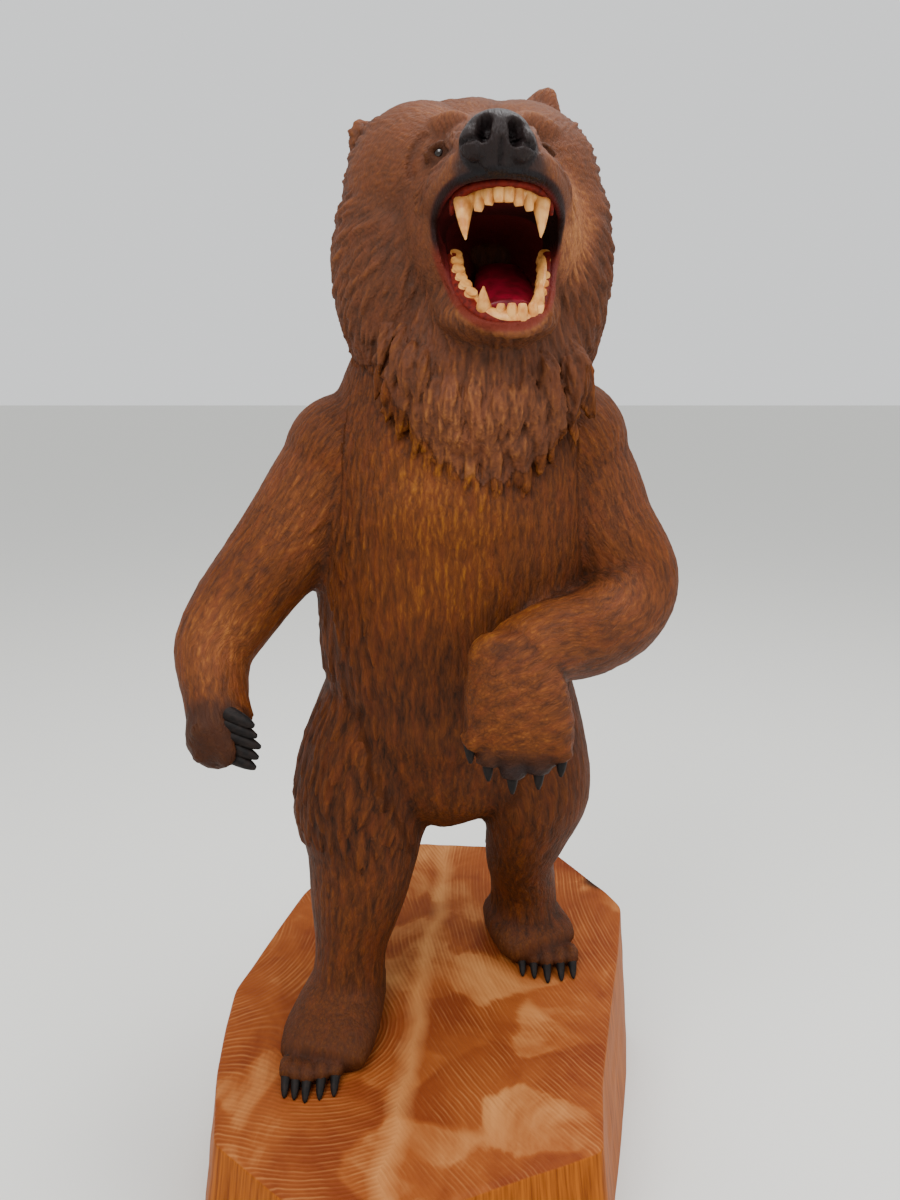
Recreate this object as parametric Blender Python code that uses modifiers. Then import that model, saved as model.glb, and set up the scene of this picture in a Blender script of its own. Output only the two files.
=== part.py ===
"""Chainsaw carved bear: a striding, roaring bear carved in one with its sloping log base."""

import math

import bmesh
import bpy
import numpy as np
from mathutils import Matrix, Vector, kdtree

# Bear: everything on it is given in hundredths of its height, from the ground under its middle.
BEAR_HEIGHT = 0.85
SHARE = BEAR_HEIGHT / 100.0

# Base: a log with chainsawn sides, its top sloping down towards the viewer (-Y).
BASE_WIDTH = 0.417
BASE_DEPTH = 0.5
BASE_BACK_HEIGHT = 0.193
BASE_FRONT_HEIGHT = 0.093
BASE_FLARE = 0.016
BASE_MIDDLE_X = -0.0125
BASE_MIDDLE_Y = -0.022
SEAM_RISE = 0.006
# Corners of the top as shares of the width (from the middle) and depth (from the front), clockwise.
BASE_CORNERS = (
    (-0.102, 0.000), (-0.303, 0.068), (-0.464, 0.176), (-0.495, 0.330), (-0.501, 0.434), (-0.500, 0.532),
    (-0.426, 0.714), (-0.373, 0.832), (-0.222, 0.992), (-0.030, 1.000), (0.339, 0.980), (0.464, 0.840),
    (0.500, 0.788), (0.466, 0.644), (0.423, 0.498), (0.370, 0.304), (0.349, 0.160), (0.059, 0.068),
)

# Carving.
BODY_VOXEL = 0.0042
DETAIL_VOXEL = 0.0026
BODY_TRIANGLES = 7700
LOCK_SEED = 7

WOOD_COLOUR = (0.42, 0.20, 0.08, 1.0)


def ground_height(x, y):
    """Height of the base's top at a place in metres, with the low rise along the seam."""
    front = BASE_MIDDLE_Y - BASE_DEPTH / 2
    share = (y - front) / BASE_DEPTH
    slope = BASE_FRONT_HEIGHT + (BASE_BACK_HEIGHT - BASE_FRONT_HEIGHT) * share
    seam_x = BASE_MIDDLE_X - 0.105 * BASE_WIDTH + 0.07 * BASE_WIDTH * share
    fall = min(abs(x - seam_x) / (0.5 * BASE_WIDTH), 1.0)
    return slope + SEAM_RISE * (0.5 - fall)


def at(x, y, z):
    """Place on the bear, in hundredths of its height, as metres."""
    return Vector((x * SHARE, y * SHARE, z * SHARE + ground_height(0.0, 0.0)))


def on_ground(x, y, rise):
    """Place in hundredths of the bear's height above the base's top under it, as a share triple."""
    ground = ground_height(x * SHARE, y * SHARE) - ground_height(0.0, 0.0)
    return x, y, rise + ground / SHARE


def mesh_object(name, verts, faces, collection):
    """Object from plain lists, its faces turned outward."""
    mesh = bpy.data.meshes.new(name)
    mesh.from_pydata([tuple(v) for v in verts], [], faces)
    bm = bmesh.new()
    bm.from_mesh(mesh)
    bmesh.ops.recalc_face_normals(bm, faces=bm.faces)
    bm.to_mesh(mesh)
    bm.free()
    obj = bpy.data.objects.new(name, mesh)
    collection.objects.link(obj)
    return obj


def blend_rows(rows, steps):
    """Catmull-Rom curve through rows of numbers."""
    rows = np.array(rows, dtype=float)
    padded = np.vstack([2 * rows[0] - rows[1], rows, 2 * rows[-1] - rows[-2]])
    out = []
    for i in range(1, len(rows)):
        a, b, c, d = padded[i - 1], padded[i], padded[i + 1], padded[i + 2]
        for k in range(steps):
            t = k / steps
            out.append(0.5 * (2 * b + (c - a) * t + (2 * a - 5 * b + 4 * c - d) * t ** 2
                              + (3 * b - a - 3 * c + d) * t ** 3))
    out.append(rows[-1])
    return np.array(out)


def limb(name, stations, across, collection, sides=20, steps=5, power=2.0):
    """Loft through (x, y, z, half width, half thickness), the width lying square to the across vector."""
    rows = blend_rows(stations, steps)
    centres = [at(*row[:3]) for row in rows]
    verts, faces = [], []
    for i, row in enumerate(rows):
        ahead = centres[min(i + 1, len(rows) - 1)]
        behind = centres[max(i - 1, 0)]
        tangent = (ahead - behind).normalized()
        side = tangent.cross(Vector(across)).normalized()
        lift = side.cross(tangent).normalized()
        for k in range(sides):
            angle = 2 * math.pi * k / sides
            c, s = math.cos(angle), math.sin(angle)
            u = math.copysign(abs(c) ** (2 / power), c) * max(row[3], 0.02) * SHARE
            v = math.copysign(abs(s) ** (2 / power), s) * max(row[4], 0.02) * SHARE
            verts.append(centres[i] + side * u + lift * v)
    for i in range(len(rows) - 1):
        for k in range(sides):
            n = (k + 1) % sides
            faces.append((i * sides + k, i * sides + n, (i + 1) * sides + n, (i + 1) * sides + k))
    for end, beyond in ((0, centres[0] - centres[1]), (len(rows) - 1, centres[-1] - centres[-2])):
        reach = 0.55 * min(rows[end][3], rows[end][4]) * SHARE
        verts.append(centres[end] + beyond.normalized() * reach)
        pole = len(verts) - 1
        for k in range(sides):
            faces.append((end * sides + k, end * sides + (k + 1) % sides, pole))
    return mesh_object(name, verts, faces, collection)


def lump(name, centre, radii, collection, turn=(0.0, 0.0, 0.0), segments=24):
    """Ellipsoid, radii in hundredths, turned by degrees about X, Y and Z."""
    bm = bmesh.new()
    turned = Matrix.Rotation(math.radians(turn[2]), 4, "Z") @ Matrix.Rotation(math.radians(turn[1]), 4, "Y")
    turned = turned @ Matrix.Rotation(math.radians(turn[0]), 4, "X")
    sized = Matrix.Diagonal((radii[0] * SHARE, radii[1] * SHARE, radii[2] * SHARE, 1.0))
    place = Matrix.Translation(at(*centre)) @ turned @ sized
    bmesh.ops.create_uvsphere(bm, u_segments=segments, v_segments=segments // 2, radius=1.0, matrix=place)
    mesh = bpy.data.meshes.new(name)
    bm.to_mesh(mesh)
    bm.free()
    obj = bpy.data.objects.new(name, mesh)
    collection.objects.link(obj)
    return obj


def claw(name, root, tip, radius, bow, collection):
    """Curved tapering claw or tooth from root to tip, its middle pushed out by the bow vector."""
    middle = [(a + b) / 2 + c for a, b, c in zip(root, tip, bow)]
    stations = [(*root, radius, radius), (*middle, 0.8 * radius, 0.8 * radius),
                (*tip, 0.18 * radius, 0.18 * radius)]
    return limb(name, stations, (0.23, 0.97, 0.11), collection, sides=6, steps=1)


def applied(obj, kind, **settings):
    """Add one modifier, set it and take its result into the mesh."""
    modifier = obj.modifiers.new(kind.title(), kind)
    for key, value in settings.items():
        setattr(modifier, key, value)
    depsgraph = bpy.context.evaluated_depsgraph_get()
    result = bpy.data.meshes.new_from_object(obj.evaluated_get(depsgraph))
    obj.modifiers.clear()
    old = obj.data
    obj.data = result
    bpy.data.meshes.remove(old)
    return obj


def joined(name, objects, collection):
    """One mesh object from several, which are removed."""
    bm = bmesh.new()
    for obj in objects:
        bm.from_mesh(obj.data)
        bpy.data.objects.remove(obj)
    mesh = bpy.data.meshes.new(name)
    bm.to_mesh(mesh)
    bm.free()
    obj = bpy.data.objects.new(name, mesh)
    collection.objects.link(obj)
    return obj


ARM_NEAR = (
    (-9.0, 3.0, 65.6, 5.7, 7.6), (-13.0, 1.8, 60.6, 6.5, 7.2), (-17.0, 0.0, 55.2, 5.9, 6.2),
    (-20.6, -2.6, 50.7, 5.2, 5.4), (-23.4, -5.4, 46.8, 4.8, 4.9), (-24.8, -8.4, 43.6, 4.2, 4.3),
    (-24.0, -12.0, 40.2, 3.4, 3.6), (-23.0, -14.4, 37.8, 3.4, 3.4),
)
ARM_FAR = (
    (10.4, 3.2, 67.0, 7.4, 6.2), (14.6, 2.4, 61.8, 7.2, 5.8), (17.0, 1.2, 56.0, 6.2, 5.6),
    (20.0, -0.6, 50.4, 5.4, 5.3), (18.6, -3.6, 46.9, 4.9, 4.9), (14.6, -7.6, 45.4, 4.5, 4.6),
    (10.2, -11.6, 45.4, 4.4, 4.3), (6.6, -14.8, 44.6, 4.2, 3.8),
)
LEG_NEAR = (
    (-6.2, 3.8, 38.6, 7.0, 8.4), (-7.8, 3.4, 33.4, 7.9, 9.4), (-9.4, 2.2, 27.6, 8.4, 9.4),
    (-10.2, 0.4, 22.5, 8.1, 8.6), (-10.2, -1.6, 17.6, 6.5, 7.0), (-10.8, -3.0, 12.6, 5.5, 5.8),
    (-11.5, -4.0, 7.4, 4.2, 4.8), (-11.8, -4.4, 3.0, 4.2, 5.0),
)
LEG_FAR = (
    (6.2, 3.8, 39.0, 7.2, 8.4), (7.0, 3.4, 34.0, 8.0, 9.2), (8.6, 2.4, 29.0, 7.6, 9.0),
    (9.7, 0.8, 24.6, 6.8, 8.0), (9.2, 1.4, 20.0, 5.1, 6.2), (8.6, 4.8, 14.8, 4.3, 5.0),
    (9.2, 7.2, 10.0, 4.1, 4.6), (9.4, 8.0, 5.4, 4.3, 4.8),
)
TORSO = (
    (-0.6, 3.4, 21.2, 6.0, 5.2), (-0.7, 3.4, 24.2, 11.6, 9.0), (-0.4, 3.3, 30.0, 14.2, 10.6),
    (0.0, 3.0, 36.0, 14.2, 11.0), (-0.2, 2.6, 42.0, 14.6, 11.4), (0.2, 2.5, 49.0, 15.4, 11.7),
    (0.6, 2.6, 56.0, 16.2, 11.8), (0.9, 3.2, 63.0, 16.2, 11.4), (1.3, 3.8, 69.0, 13.8, 10.6),
    (2.0, 3.6, 75.0, 12.0, 10.2), (2.4, 3.0, 82.0, 11.0, 10.0),
)


def foot(name, along, collection):
    """Foot lofted along (x, y, rise, half width, half height) stations that follow the ground."""
    stations = [(*on_ground(x, y, rise), a, b) for x, y, rise, a, b in along]
    return limb(name, stations, (0.0, 0.0, 1.0), collection)


def body_masses(collection):
    """Torso, limbs, feet and paws before any carving."""
    front = (0.0, 1.0, 0.0)
    parts = [
        limb("torso", TORSO, front, collection, sides=32, power=2.2),
        limb("arm near", ARM_NEAR, front, collection),
        limb("arm far", ARM_FAR, (0.0, 0.0, 1.0), collection),
        limb("leg near", LEG_NEAR, front, collection),
        limb("leg far", LEG_FAR, front, collection),
        lump("chest", (0.4, -2.6, 57.0), (13.0, 7.0, 9.5), collection),
        lump("belly", (-0.4, -1.5, 35.0), (11.5, 7.0, 9.0), collection),
        lump("shoulder near", (-11.6, 3.0, 63.2), (6.9, 8.4, 7.0), collection),
        lump("shoulder far", (13.0, 3.2, 64.6), (6.8, 8.4, 7.2), collection),
        lump("rump near", (-8.0, 8.6, 31.0), (8.2, 6.4, 8.6), collection),
        lump("rump far", (7.2, 8.8, 31.6), (7.6, 6.4, 8.6), collection),
        lump("tail", (-0.4, 14.8, 32.6), (2.4, 2.4, 3.4), collection),
        lump("hump", (1.2, 11.0, 68.0), (10.5, 5.6, 9.6), collection),
    ]
    parts.append(foot("foot near", (
        (-11.6, -0.6, 2.6, 4.0, 3.2), (-12.2, -5.0, 2.8, 4.8, 3.8), (-13.4, -9.6, 1.9, 5.4, 3.2),
        (-14.2, -13.0, 1.2, 4.9, 2.3)), collection))
    parts.append(foot("foot far", (
        (8.9, 11.2, 2.6, 4.0, 3.2), (9.6, 7.4, 2.8, 4.8, 3.8), (10.8, 4.4, 2.1, 5.5, 3.1),
        (11.7, 2.6, 1.6, 4.9, 2.3)), collection))
    return parts


def head_masses(collection):
    """Skull, mane, face, muzzle, lower jaw and ears."""
    up = (0.0, 0.0, 1.0)
    return [
        lump("skull near", (-2.6, 0.4, 90.2), (8.4, 9.6, 9.1), collection),
        lump("skull far", (6.9, 0.6, 90.4), (8.6, 9.6, 9.0), collection),
        lump("skull top", (2.4, 1.0, 90.6), (8.0, 8.6, 9.2), collection),
        lump("mane near", (-3.5, 0.0, 83.0), (8.8, 9.0, 13.4), collection),
        lump("mane far", (8.7, 0.2, 83.2), (8.2, 9.0, 15.0), collection),
        lump("mane back", (2.4, 7.0, 82.0), (10.0, 6.4, 14.0), collection),
        lump("beard", (3.6, -3.6, 73.2), (10.2, 7.8, 11.6), collection),
        lump("face", (3.9, -5.4, 85.8), (9.4, 8.4, 9.6), collection),
        lump("brow near", (-0.9, -9.2, 95.0), (3.4, 2.7, 1.7), collection, turn=(0, -18, 12)),
        lump("brow far", (8.3, -9.2, 95.1), (3.4, 2.7, 1.7), collection, turn=(0, 18, -12)),
        limb("muzzle", (
            (3.4, -5.0, 91.4, 6.8, 5.4), (3.9, -10.0, 90.6, 6.6, 5.6), (4.2, -13.4, 90.2, 6.2, 5.2),
            (4.3, -16.6, 90.8, 5.2, 4.0), (4.1, -18.4, 91.2, 4.2, 3.2), (4.0, -19.5, 91.3, 2.9, 2.4),
        ), up, collection),
        lump("nose", (4.0, -20.1, 92.0), (3.4, 1.9, 2.5), collection),
        limb("jaw", (
            (3.9, -3.0, 81.0, 6.8, 5.2), (4.3, -8.0, 78.8, 6.8, 4.4), (4.7, -12.5, 77.2, 6.1, 2.7),
            (5.1, -15.2, 76.9, 5.0, 1.5), (5.2, -16.6, 76.7, 3.8, 1.1)), up, collection),
        lump("ear near", (-8.9, 0.6, 95.3), (1.9, 1.2, 2.5), collection, turn=(0, -22, 0)),
        lump("ear far", (10.1, 1.6, 98.4), (1.8, 1.2, 2.9), collection, turn=(0, 6, 0)),
        lump("tuft", (1.9, -1.0, 99.2), (1.1, 1.6, 0.9), collection),
    ]


def paw_masses(collection):
    """Fists with their fingers."""
    parts = [
        lump("fist near", (-22.9, -14.4, 37.4), (3.5, 3.6, 3.5), collection),
        lump("back of far paw", (5.6, -16.4, 40.4), (4.5, 2.9, 4.6), collection),
    ]
    for i in range(5):
        height = 39.6 - 1.15 * i
        parts.append(limb("finger near", (
            (-24.0, -15.6, height - 0.3, 1.1, 1.1), (-22.4, -17.4, height, 1.0, 1.0),
            (-21.0, -17.5, height, 0.85, 0.85)), (0.0, 0.0, 1.0), collection, sides=10))
    for x, z in FINGERS_FAR:
        parts.append(limb("finger far", (
            (0.35 * x + 3.7, -17.4, 41.0, 1.3, 1.3), (0.75 * x + 1.4, -18.6, 38.0, 1.3, 1.4),
            (x, -18.4, z, 1.2, 1.3)), (0.0, 1.0, 0.0), collection, sides=10))
    return parts


FINGERS_FAR = ((2.1, 35.6), (3.7, 34.1), (5.7, 33.3), (7.9, 33.8), (9.7, 35.2))
TOES_NEAR = (-17.8, -16.4, -15.0, -13.6, -12.2)
TOES_FAR = (8.4, 10.1, 11.8, 13.5, 15.2)


def toes(collection):
    """Toes of both feet."""
    parts = []
    for x_list, y_front in ((TOES_NEAR, -14.4), (TOES_FAR, 1.4)):
        for i, x in enumerate(x_list):
            toe = on_ground(x, y_front + 0.35 * abs(i - 2), 1.0)
            parts.append(lump("toe", toe, (0.92, 1.6, 1.15), collection, segments=12))
    return parts


def claws(collection):
    """Every claw: blunt wedges on the feet, a stack on the near fist, short hooks on the far paw."""
    parts = []
    for x_list, y_front in ((TOES_NEAR, -14.4), (TOES_FAR, 1.4)):
        for i, x in enumerate(x_list):
            y = y_front + 0.35 * abs(i - 2)
            root = on_ground(x, y - 0.5, 1.5)
            tip = on_ground(x, y - 2.1, 0.2)
            parts.append(claw("claw", root, tip, 0.58, (0.0, -0.45, 0.3), collection))
    for i in range(5):
        height = 39.8 - 1.15 * i
        tip = (-18.9, -17.9, height - 0.9)
        parts.append(claw("claw", (-21.6, -17.5, height), tip, 0.54, (0.5, -0.3, 0.35), collection))
    for x, z in FINGERS_FAR:
        tip = (x - 0.1, -18.0, z - 2.2)
        parts.append(claw("claw", (x, -18.6, z + 0.8), tip, 0.55, (0.0, -0.4, 0.0), collection))
    return parts


MOUTH = (
    (4.7, -27.0, 82.3, 6.4, 6.8), (4.7, -20.0, 82.6, 5.8, 6.1), (4.6, -16.0, 82.7, 5.5, 5.8),
    (4.5, -12.0, 83.0, 5.3, 5.2), (4.4, -9.0, 83.2, 4.5, 4.2), (4.3, -5.0, 83.4, 3.2, 2.8),
    (4.2, -2.0, 83.4, 1.6, 1.4),
)


def face_cutters(collection):
    """Mouth cavity, nostrils and eye sockets."""
    return [
        limb("mouth cutter", MOUTH, (0.0, 0.0, 1.0), collection, sides=28, power=2.3),
        lump("nostril near", (2.6, -22.1, 92.1), (0.85, 1.4, 0.95), collection, segments=12),
        lump("nostril far", (5.4, -22.1, 92.1), (0.85, 1.4, 0.95), collection, segments=12),
        lump("socket near", (-1.1, -12.6, 92.5), (1.3, 1.3, 1.1), collection, segments=12),
        lump("socket far", (8.6, -12.6, 92.5), (1.3, 1.3, 1.1), collection, segments=12),
    ]


def mouth_filling(collection):
    """Gums, cheek teeth, tongue and eyes, seated in the cut face."""
    parts = [
        limb("gum upper", (
            (0.2, -12.6, 88.0, 0.9, 0.9), (0.6, -16.4, 88.8, 1.0, 1.0), (2.4, -18.4, 88.8, 0.9, 0.9),
            (4.3, -18.9, 88.8, 0.9, 0.9), (6.3, -18.4, 88.8, 0.9, 0.9), (8.1, -16.4, 88.9, 1.0, 1.0),
            (8.7, -12.6, 88.2, 0.9, 0.9)), (0.0, 0.0, 1.0), collection, sides=10),
        limb("gum lower", (
            (-0.6, -9.6, 82.6, 0.8, 0.8), (0.3, -12.6, 79.8, 0.9, 0.9), (2.5, -15.2, 77.2, 0.9, 0.9),
            (5.6, -16.0, 76.6, 0.9, 0.9), (8.7, -15.0, 77.4, 0.9, 0.9), (9.5, -12.4, 80.0, 0.9, 0.9),
            (9.9, -9.6, 82.8, 0.8, 0.8)), (0.0, 0.5, 0.8), collection, sides=10),
        limb("tongue", (
            (4.4, -4.0, 81.6, 2.0, 1.0), (4.5, -8.0, 80.2, 2.9, 1.2), (4.8, -11.4, 78.9, 2.8, 1.0),
            (5.0, -13.6, 78.4, 2.0, 0.7)), (0.0, 0.0, 1.0), collection),
        lump("eye near", (-1.1, -11.3, 92.4), (0.75, 0.75, 0.75), collection, segments=12),
        lump("eye far", (8.5, -11.3, 92.4), (0.75, 0.75, 0.75), collection, segments=12),
    ]
    for i in range(5):
        t = i / 4
        parts.append(lump("molar", (-0.3 + 1.6 * t * t + 0.3 * t, -9.8 - 4.2 * t, 83.2 - 4.4 * t),
                          (0.65, 0.65, 0.75), collection, segments=8))
        parts.append(lump("molar", (9.6 - 0.5 * t * t, -9.8 - 3.8 * t, 83.4 - 4.2 * t),
                          (0.65, 0.65, 0.75), collection, segments=8))
    return parts


def front_teeth(collection):
    """Canines and incisors of both jaws."""
    parts = [
        claw("canine", (0.7, -16.6, 89.2), (1.2, -17.3, 84.4), 0.95, (-0.25, -0.3, 0.0), collection),
        claw("canine", (8.0, -16.6, 89.3), (8.0, -17.3, 84.6), 0.95, (0.25, -0.3, 0.0), collection),
        claw("canine", (2.9, -15.4, 76.4), (3.1, -16.2, 79.8), 1.0, (-0.15, -0.2, 0.0), collection),
        claw("canine", (8.9, -14.9, 76.7), (8.7, -15.6, 80.0), 1.0, (0.15, -0.2, 0.0), collection),
    ]
    for i in range(5):
        x = 2.5 + 0.93 * i
        bow = 0.3 * (i - 2) ** 2 / 4
        place = (x, -18.5 + 1.5 * bow, 87.5 + bow)
        parts.append(lump("incisor", place, (0.4, 0.42, 1.3), collection, segments=6))
    for i in range(4):
        place = (4.7 + 0.85 * i, -16.0 + 0.12 * abs(i - 1.5), 77.2)
        parts.append(lump("incisor", place, (0.38, 0.38, 1.05), collection, segments=6))
    return parts


def skeleton():
    """Segments that give the run of the fur: start, end, radius and kind of each."""
    rows = []
    for kind, chain in (("arm", ARM_NEAR), ("arm", ARM_FAR), ("leg", LEG_NEAR), ("leg", LEG_FAR)):
        for a, b in zip(chain, chain[1:]):
            rows.append((at(*a[:3]), at(*b[:3]), 0.5 * (a[3] + b[3]) * SHARE, kind))
    for a, b in zip(TORSO, TORSO[1:]):
        rows.append((at(*b[:3]), at(*a[:3]), 0.45 * (a[3] + b[3]) * SHARE, "torso"))
    return rows


def fur_run(points):
    """Unit direction of the fur and the kind of region at each point."""
    best = np.full(len(points), 1e9)
    run = np.zeros_like(points)
    kinds = np.zeros(len(points), dtype=int)
    names = ("arm", "leg", "torso")
    for start, end, radius, kind in skeleton():
        a, b = np.array(start), np.array(end)
        axis = b - a
        t = np.clip((points - a) @ axis / (axis @ axis), 0, 1)
        gap = np.linalg.norm(points - a - t[:, None] * axis, axis=1) - radius
        nearer = gap < best
        best[nearer] = gap[nearer]
        run[nearer] = axis / np.linalg.norm(axis)
        kinds[nearer] = names.index(kind)
    face = np.array(at(4.2, -8.0, 87.0))
    shares = (points - np.array(at(0, 0, 0))) / SHARE
    head = (shares[:, 2] > 73 + 0.12 * (shares[:, 1] + 3) ** 2 * (shares[:, 1] > -3)) \
        | ((shares[:, 2] > 61) & (shares[:, 1] < -3) & (np.abs(shares[:, 0] - 3.4) < 9.5))
    head &= shares[:, 2] > 60
    outward = points - face
    outward[:, 1] = 0.35 * np.abs(outward[:, 1]) + 0.02
    outward /= np.linalg.norm(outward, axis=1)[:, None]
    fall = np.clip((96 - shares[:, 2]) / 14, 0.15, 3.0)
    mane = outward + np.stack([0 * fall, 0 * fall, -fall], axis=1)
    run[head] = mane[head]
    kinds[head] = 3
    run /= np.linalg.norm(run, axis=1)[:, None]
    return run, kinds


def carve(obj, cuts):
    """Press V grooves into the surface: (place, direction, length, width, depth) in metres each."""
    mesh = obj.data
    count = len(mesh.vertices)
    flat = np.empty(count * 3)
    mesh.vertices.foreach_get("co", flat)
    points = flat.reshape(-1, 3)
    normals = np.array([tuple(n.vector) for n in mesh.vertex_normals])
    tree = kdtree.KDTree(count)
    for i, point in enumerate(points):
        tree.insert(point, i)
    tree.balance()
    sink = np.zeros(count)
    for place, direction, length, width, depth in cuts:
        found = tree.find_range(place, 0.5 * length)
        if not found:
            continue
        index = np.array([item[1] for item in found])
        facing = normals[index] @ normals[found[0][1]] > 0.1
        index = index[facing]
        offset = points[index] - np.array(place)
        along = offset @ direction
        side = np.linalg.norm(offset - along[:, None] * direction, axis=1)
        shape = np.clip(1 - side / (0.5 * width), 0, 1) * np.clip(1 - (2 * along / length) ** 2, 0, 1)
        sink[index] = np.maximum(sink[index], depth * shape)
    points = points - normals * sink[:, None]
    mesh.vertices.foreach_set("co", points.ravel())
    mesh.update()


def lock_cuts(obj):
    """Large locks of the mane, tufts of the flank and thighs, and the gaps between fingers."""
    rng = np.random.default_rng(LOCK_SEED)
    mesh = obj.data
    flat = np.empty(len(mesh.vertices) * 3)
    mesh.vertices.foreach_get("co", flat)
    points = flat.reshape(-1, 3)
    normals = np.array([tuple(n.vector) for n in mesh.vertex_normals])
    run, kinds = fur_run(points)
    run = run - normals * np.sum(run * normals, axis=1)[:, None]
    run /= np.maximum(np.linalg.norm(run, axis=1), 1e-6)[:, None]
    shares = (points - np.array(at(0, 0, 0))) / SHARE
    x, y, z = shares.T
    from_face = np.hypot((x - 4.0) / 8.6, (z - 86.5) / 10.0)
    mane = (kinds == 3) & ((from_face > 1.05) | (y > -4))
    flank = (kinds == 2) & (np.abs(x) > 10) & (z > 33) & (z < 50)
    thigh = (kinds == 1) & (z > 20) & (z < 36)
    cuts = []
    for mask, spacing, length, width, depth in (
            (mane, 2.3, 7.0, 1.9, 0.75), (flank, 2.6, 5.0, 1.5, 0.45), (thigh, 3.4, 5.5, 1.6, 0.35)):
        pool = rng.permutation(np.flatnonzero(mask))[:4000]
        taken = []
        for index in pool:
            place = points[index]
            if any(np.linalg.norm((place - points[other])) < spacing * SHARE for other in taken):
                continue
            taken.append(index)
            cuts.append((place, run[index], length * SHARE, width * SHARE, depth * SHARE))
    return cuts


def base_solid(collection):
    """Log base: sloping top with a low rise along the seam, sawn sides flaring a little outward."""
    top, foot_ring = [], []
    front = BASE_MIDDLE_Y - BASE_DEPTH / 2
    for across, along in BASE_CORNERS:
        x = BASE_MIDDLE_X + across * BASE_WIDTH
        y = front + along * BASE_DEPTH
        top.append(Vector((x, y, ground_height(x, y))))
        from_middle = Vector((x - BASE_MIDDLE_X, y - BASE_MIDDLE_Y, 0.0))
        out = from_middle + from_middle.normalized() * BASE_FLARE
        foot_ring.append(Vector((BASE_MIDDLE_X + out.x, BASE_MIDDLE_Y + out.y, 0.0)))
    count = len(top)
    seam_foot, seam_back = top[0], top[9]
    verts = top + foot_ring
    faces = [tuple(range(count, 2 * count))]
    for i in range(count):
        n = (i + 1) % count
        faces.append((i, n, count + n, count + i))
    steps = 6
    seam = []
    for k in range(1, steps):
        point = seam_foot.lerp(seam_back, k / steps)
        verts.append(Vector((point.x, point.y, ground_height(point.x, point.y))))
        seam.append(len(verts) - 1)
    near_side = list(range(0, 10))
    far_side = [0] + list(range(count - 1, 8, -1))
    for chain in (near_side, far_side):
        faces.append(tuple(chain + seam[::-1]))
    obj = mesh_object("base", verts, faces, collection)
    applied(obj, "TRIANGULATE")
    return obj


def main():
    """Build the bear and its base as one solid."""
    for obj in list(bpy.data.objects):
        bpy.data.objects.remove(obj)
    scene = bpy.context.scene
    scene.unit_settings.system = "METRIC"
    model = bpy.data.collections.new("chainsaw carved bear")
    cutters = bpy.data.collections.new("cutters")
    scene.collection.children.link(model)
    scene.collection.children.link(cutters)

    masses = body_masses(model) + head_masses(model) + paw_masses(model)
    bear = joined("carved_bear", masses, model)
    applied(bear, "REMESH", mode="VOXEL", voxel_size=BODY_VOXEL)
    applied(bear, "SMOOTH", factor=0.5, iterations=5)

    for cutter in face_cutters(cutters):
        cutter.display_type = "WIRE"
        cutter.hide_render = True
        applied(bear, "BOOLEAN", operation="DIFFERENCE", solver="EXACT", object=cutter)
    details = mouth_filling(model) + toes(model)
    bear = joined("carved_bear", [bear] + details, model)
    applied(bear, "REMESH", mode="VOXEL", voxel_size=DETAIL_VOXEL)
    applied(bear, "SMOOTH", factor=0.5, iterations=1)
    carve(bear, lock_cuts(bear))
    triangles = sum(len(p.vertices) - 2 for p in bear.data.polygons)
    applied(bear, "DECIMATE", ratio=BODY_TRIANGLES / triangles)

    points = joined("points", claws(cutters) + front_teeth(cutters), cutters)
    for extra in (points, base_solid(cutters)):
        extra.display_type = "WIRE"
        extra.hide_render = True
        applied(bear, "BOOLEAN", operation="UNION", solver="EXACT", object=extra)

    wood = bpy.data.materials.new("stained softwood")
    wood.use_nodes = True
    shader = wood.node_tree.nodes["Principled BSDF"]
    shader.inputs["Base Color"].default_value = WOOD_COLOUR
    shader.inputs["Roughness"].default_value = 0.5
    bear.data.materials.clear()
    bear.data.materials.append(wood)


main()
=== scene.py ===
"""Looks of the chainsaw carved bear.

A roaring bear strides on the log that it was carved from. The fur is cut with gouges and
stained, the nose, mouth, teeth, eyes and claws are painted, and the log's top shows its rings.
"""

import logging
import math
from dataclasses import dataclass, field
from enum import Enum

import bmesh
import bpy
import numpy as np
from mathutils import Matrix, Vector, kdtree, noise


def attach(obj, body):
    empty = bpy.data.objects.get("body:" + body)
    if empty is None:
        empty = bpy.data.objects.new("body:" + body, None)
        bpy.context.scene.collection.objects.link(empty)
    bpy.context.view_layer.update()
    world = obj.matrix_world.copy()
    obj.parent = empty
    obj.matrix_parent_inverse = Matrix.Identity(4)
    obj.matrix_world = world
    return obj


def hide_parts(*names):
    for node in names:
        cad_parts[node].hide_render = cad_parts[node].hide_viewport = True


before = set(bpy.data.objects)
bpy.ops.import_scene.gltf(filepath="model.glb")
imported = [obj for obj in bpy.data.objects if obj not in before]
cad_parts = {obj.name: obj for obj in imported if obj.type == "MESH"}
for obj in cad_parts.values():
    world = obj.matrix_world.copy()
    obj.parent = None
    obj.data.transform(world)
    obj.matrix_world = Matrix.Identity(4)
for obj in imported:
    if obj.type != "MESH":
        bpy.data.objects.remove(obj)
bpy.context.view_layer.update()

BODY = "root"
NODE = "carved_bear"
MM = 0.001
LOG = logging.getLogger("bear")

Row = tuple[float, ...]
Table = tuple[Row, ...]
Socket = bpy.types.NodeSocket


class Region(Enum):
    """Parts of the bear on which the fur runs its own way."""

    ARM_NEAR = 0
    ARM_FAR = 1
    LEG_NEAR = 2
    LEG_FAR = 3
    TRUNK = 4
    HEAD = 5


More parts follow.
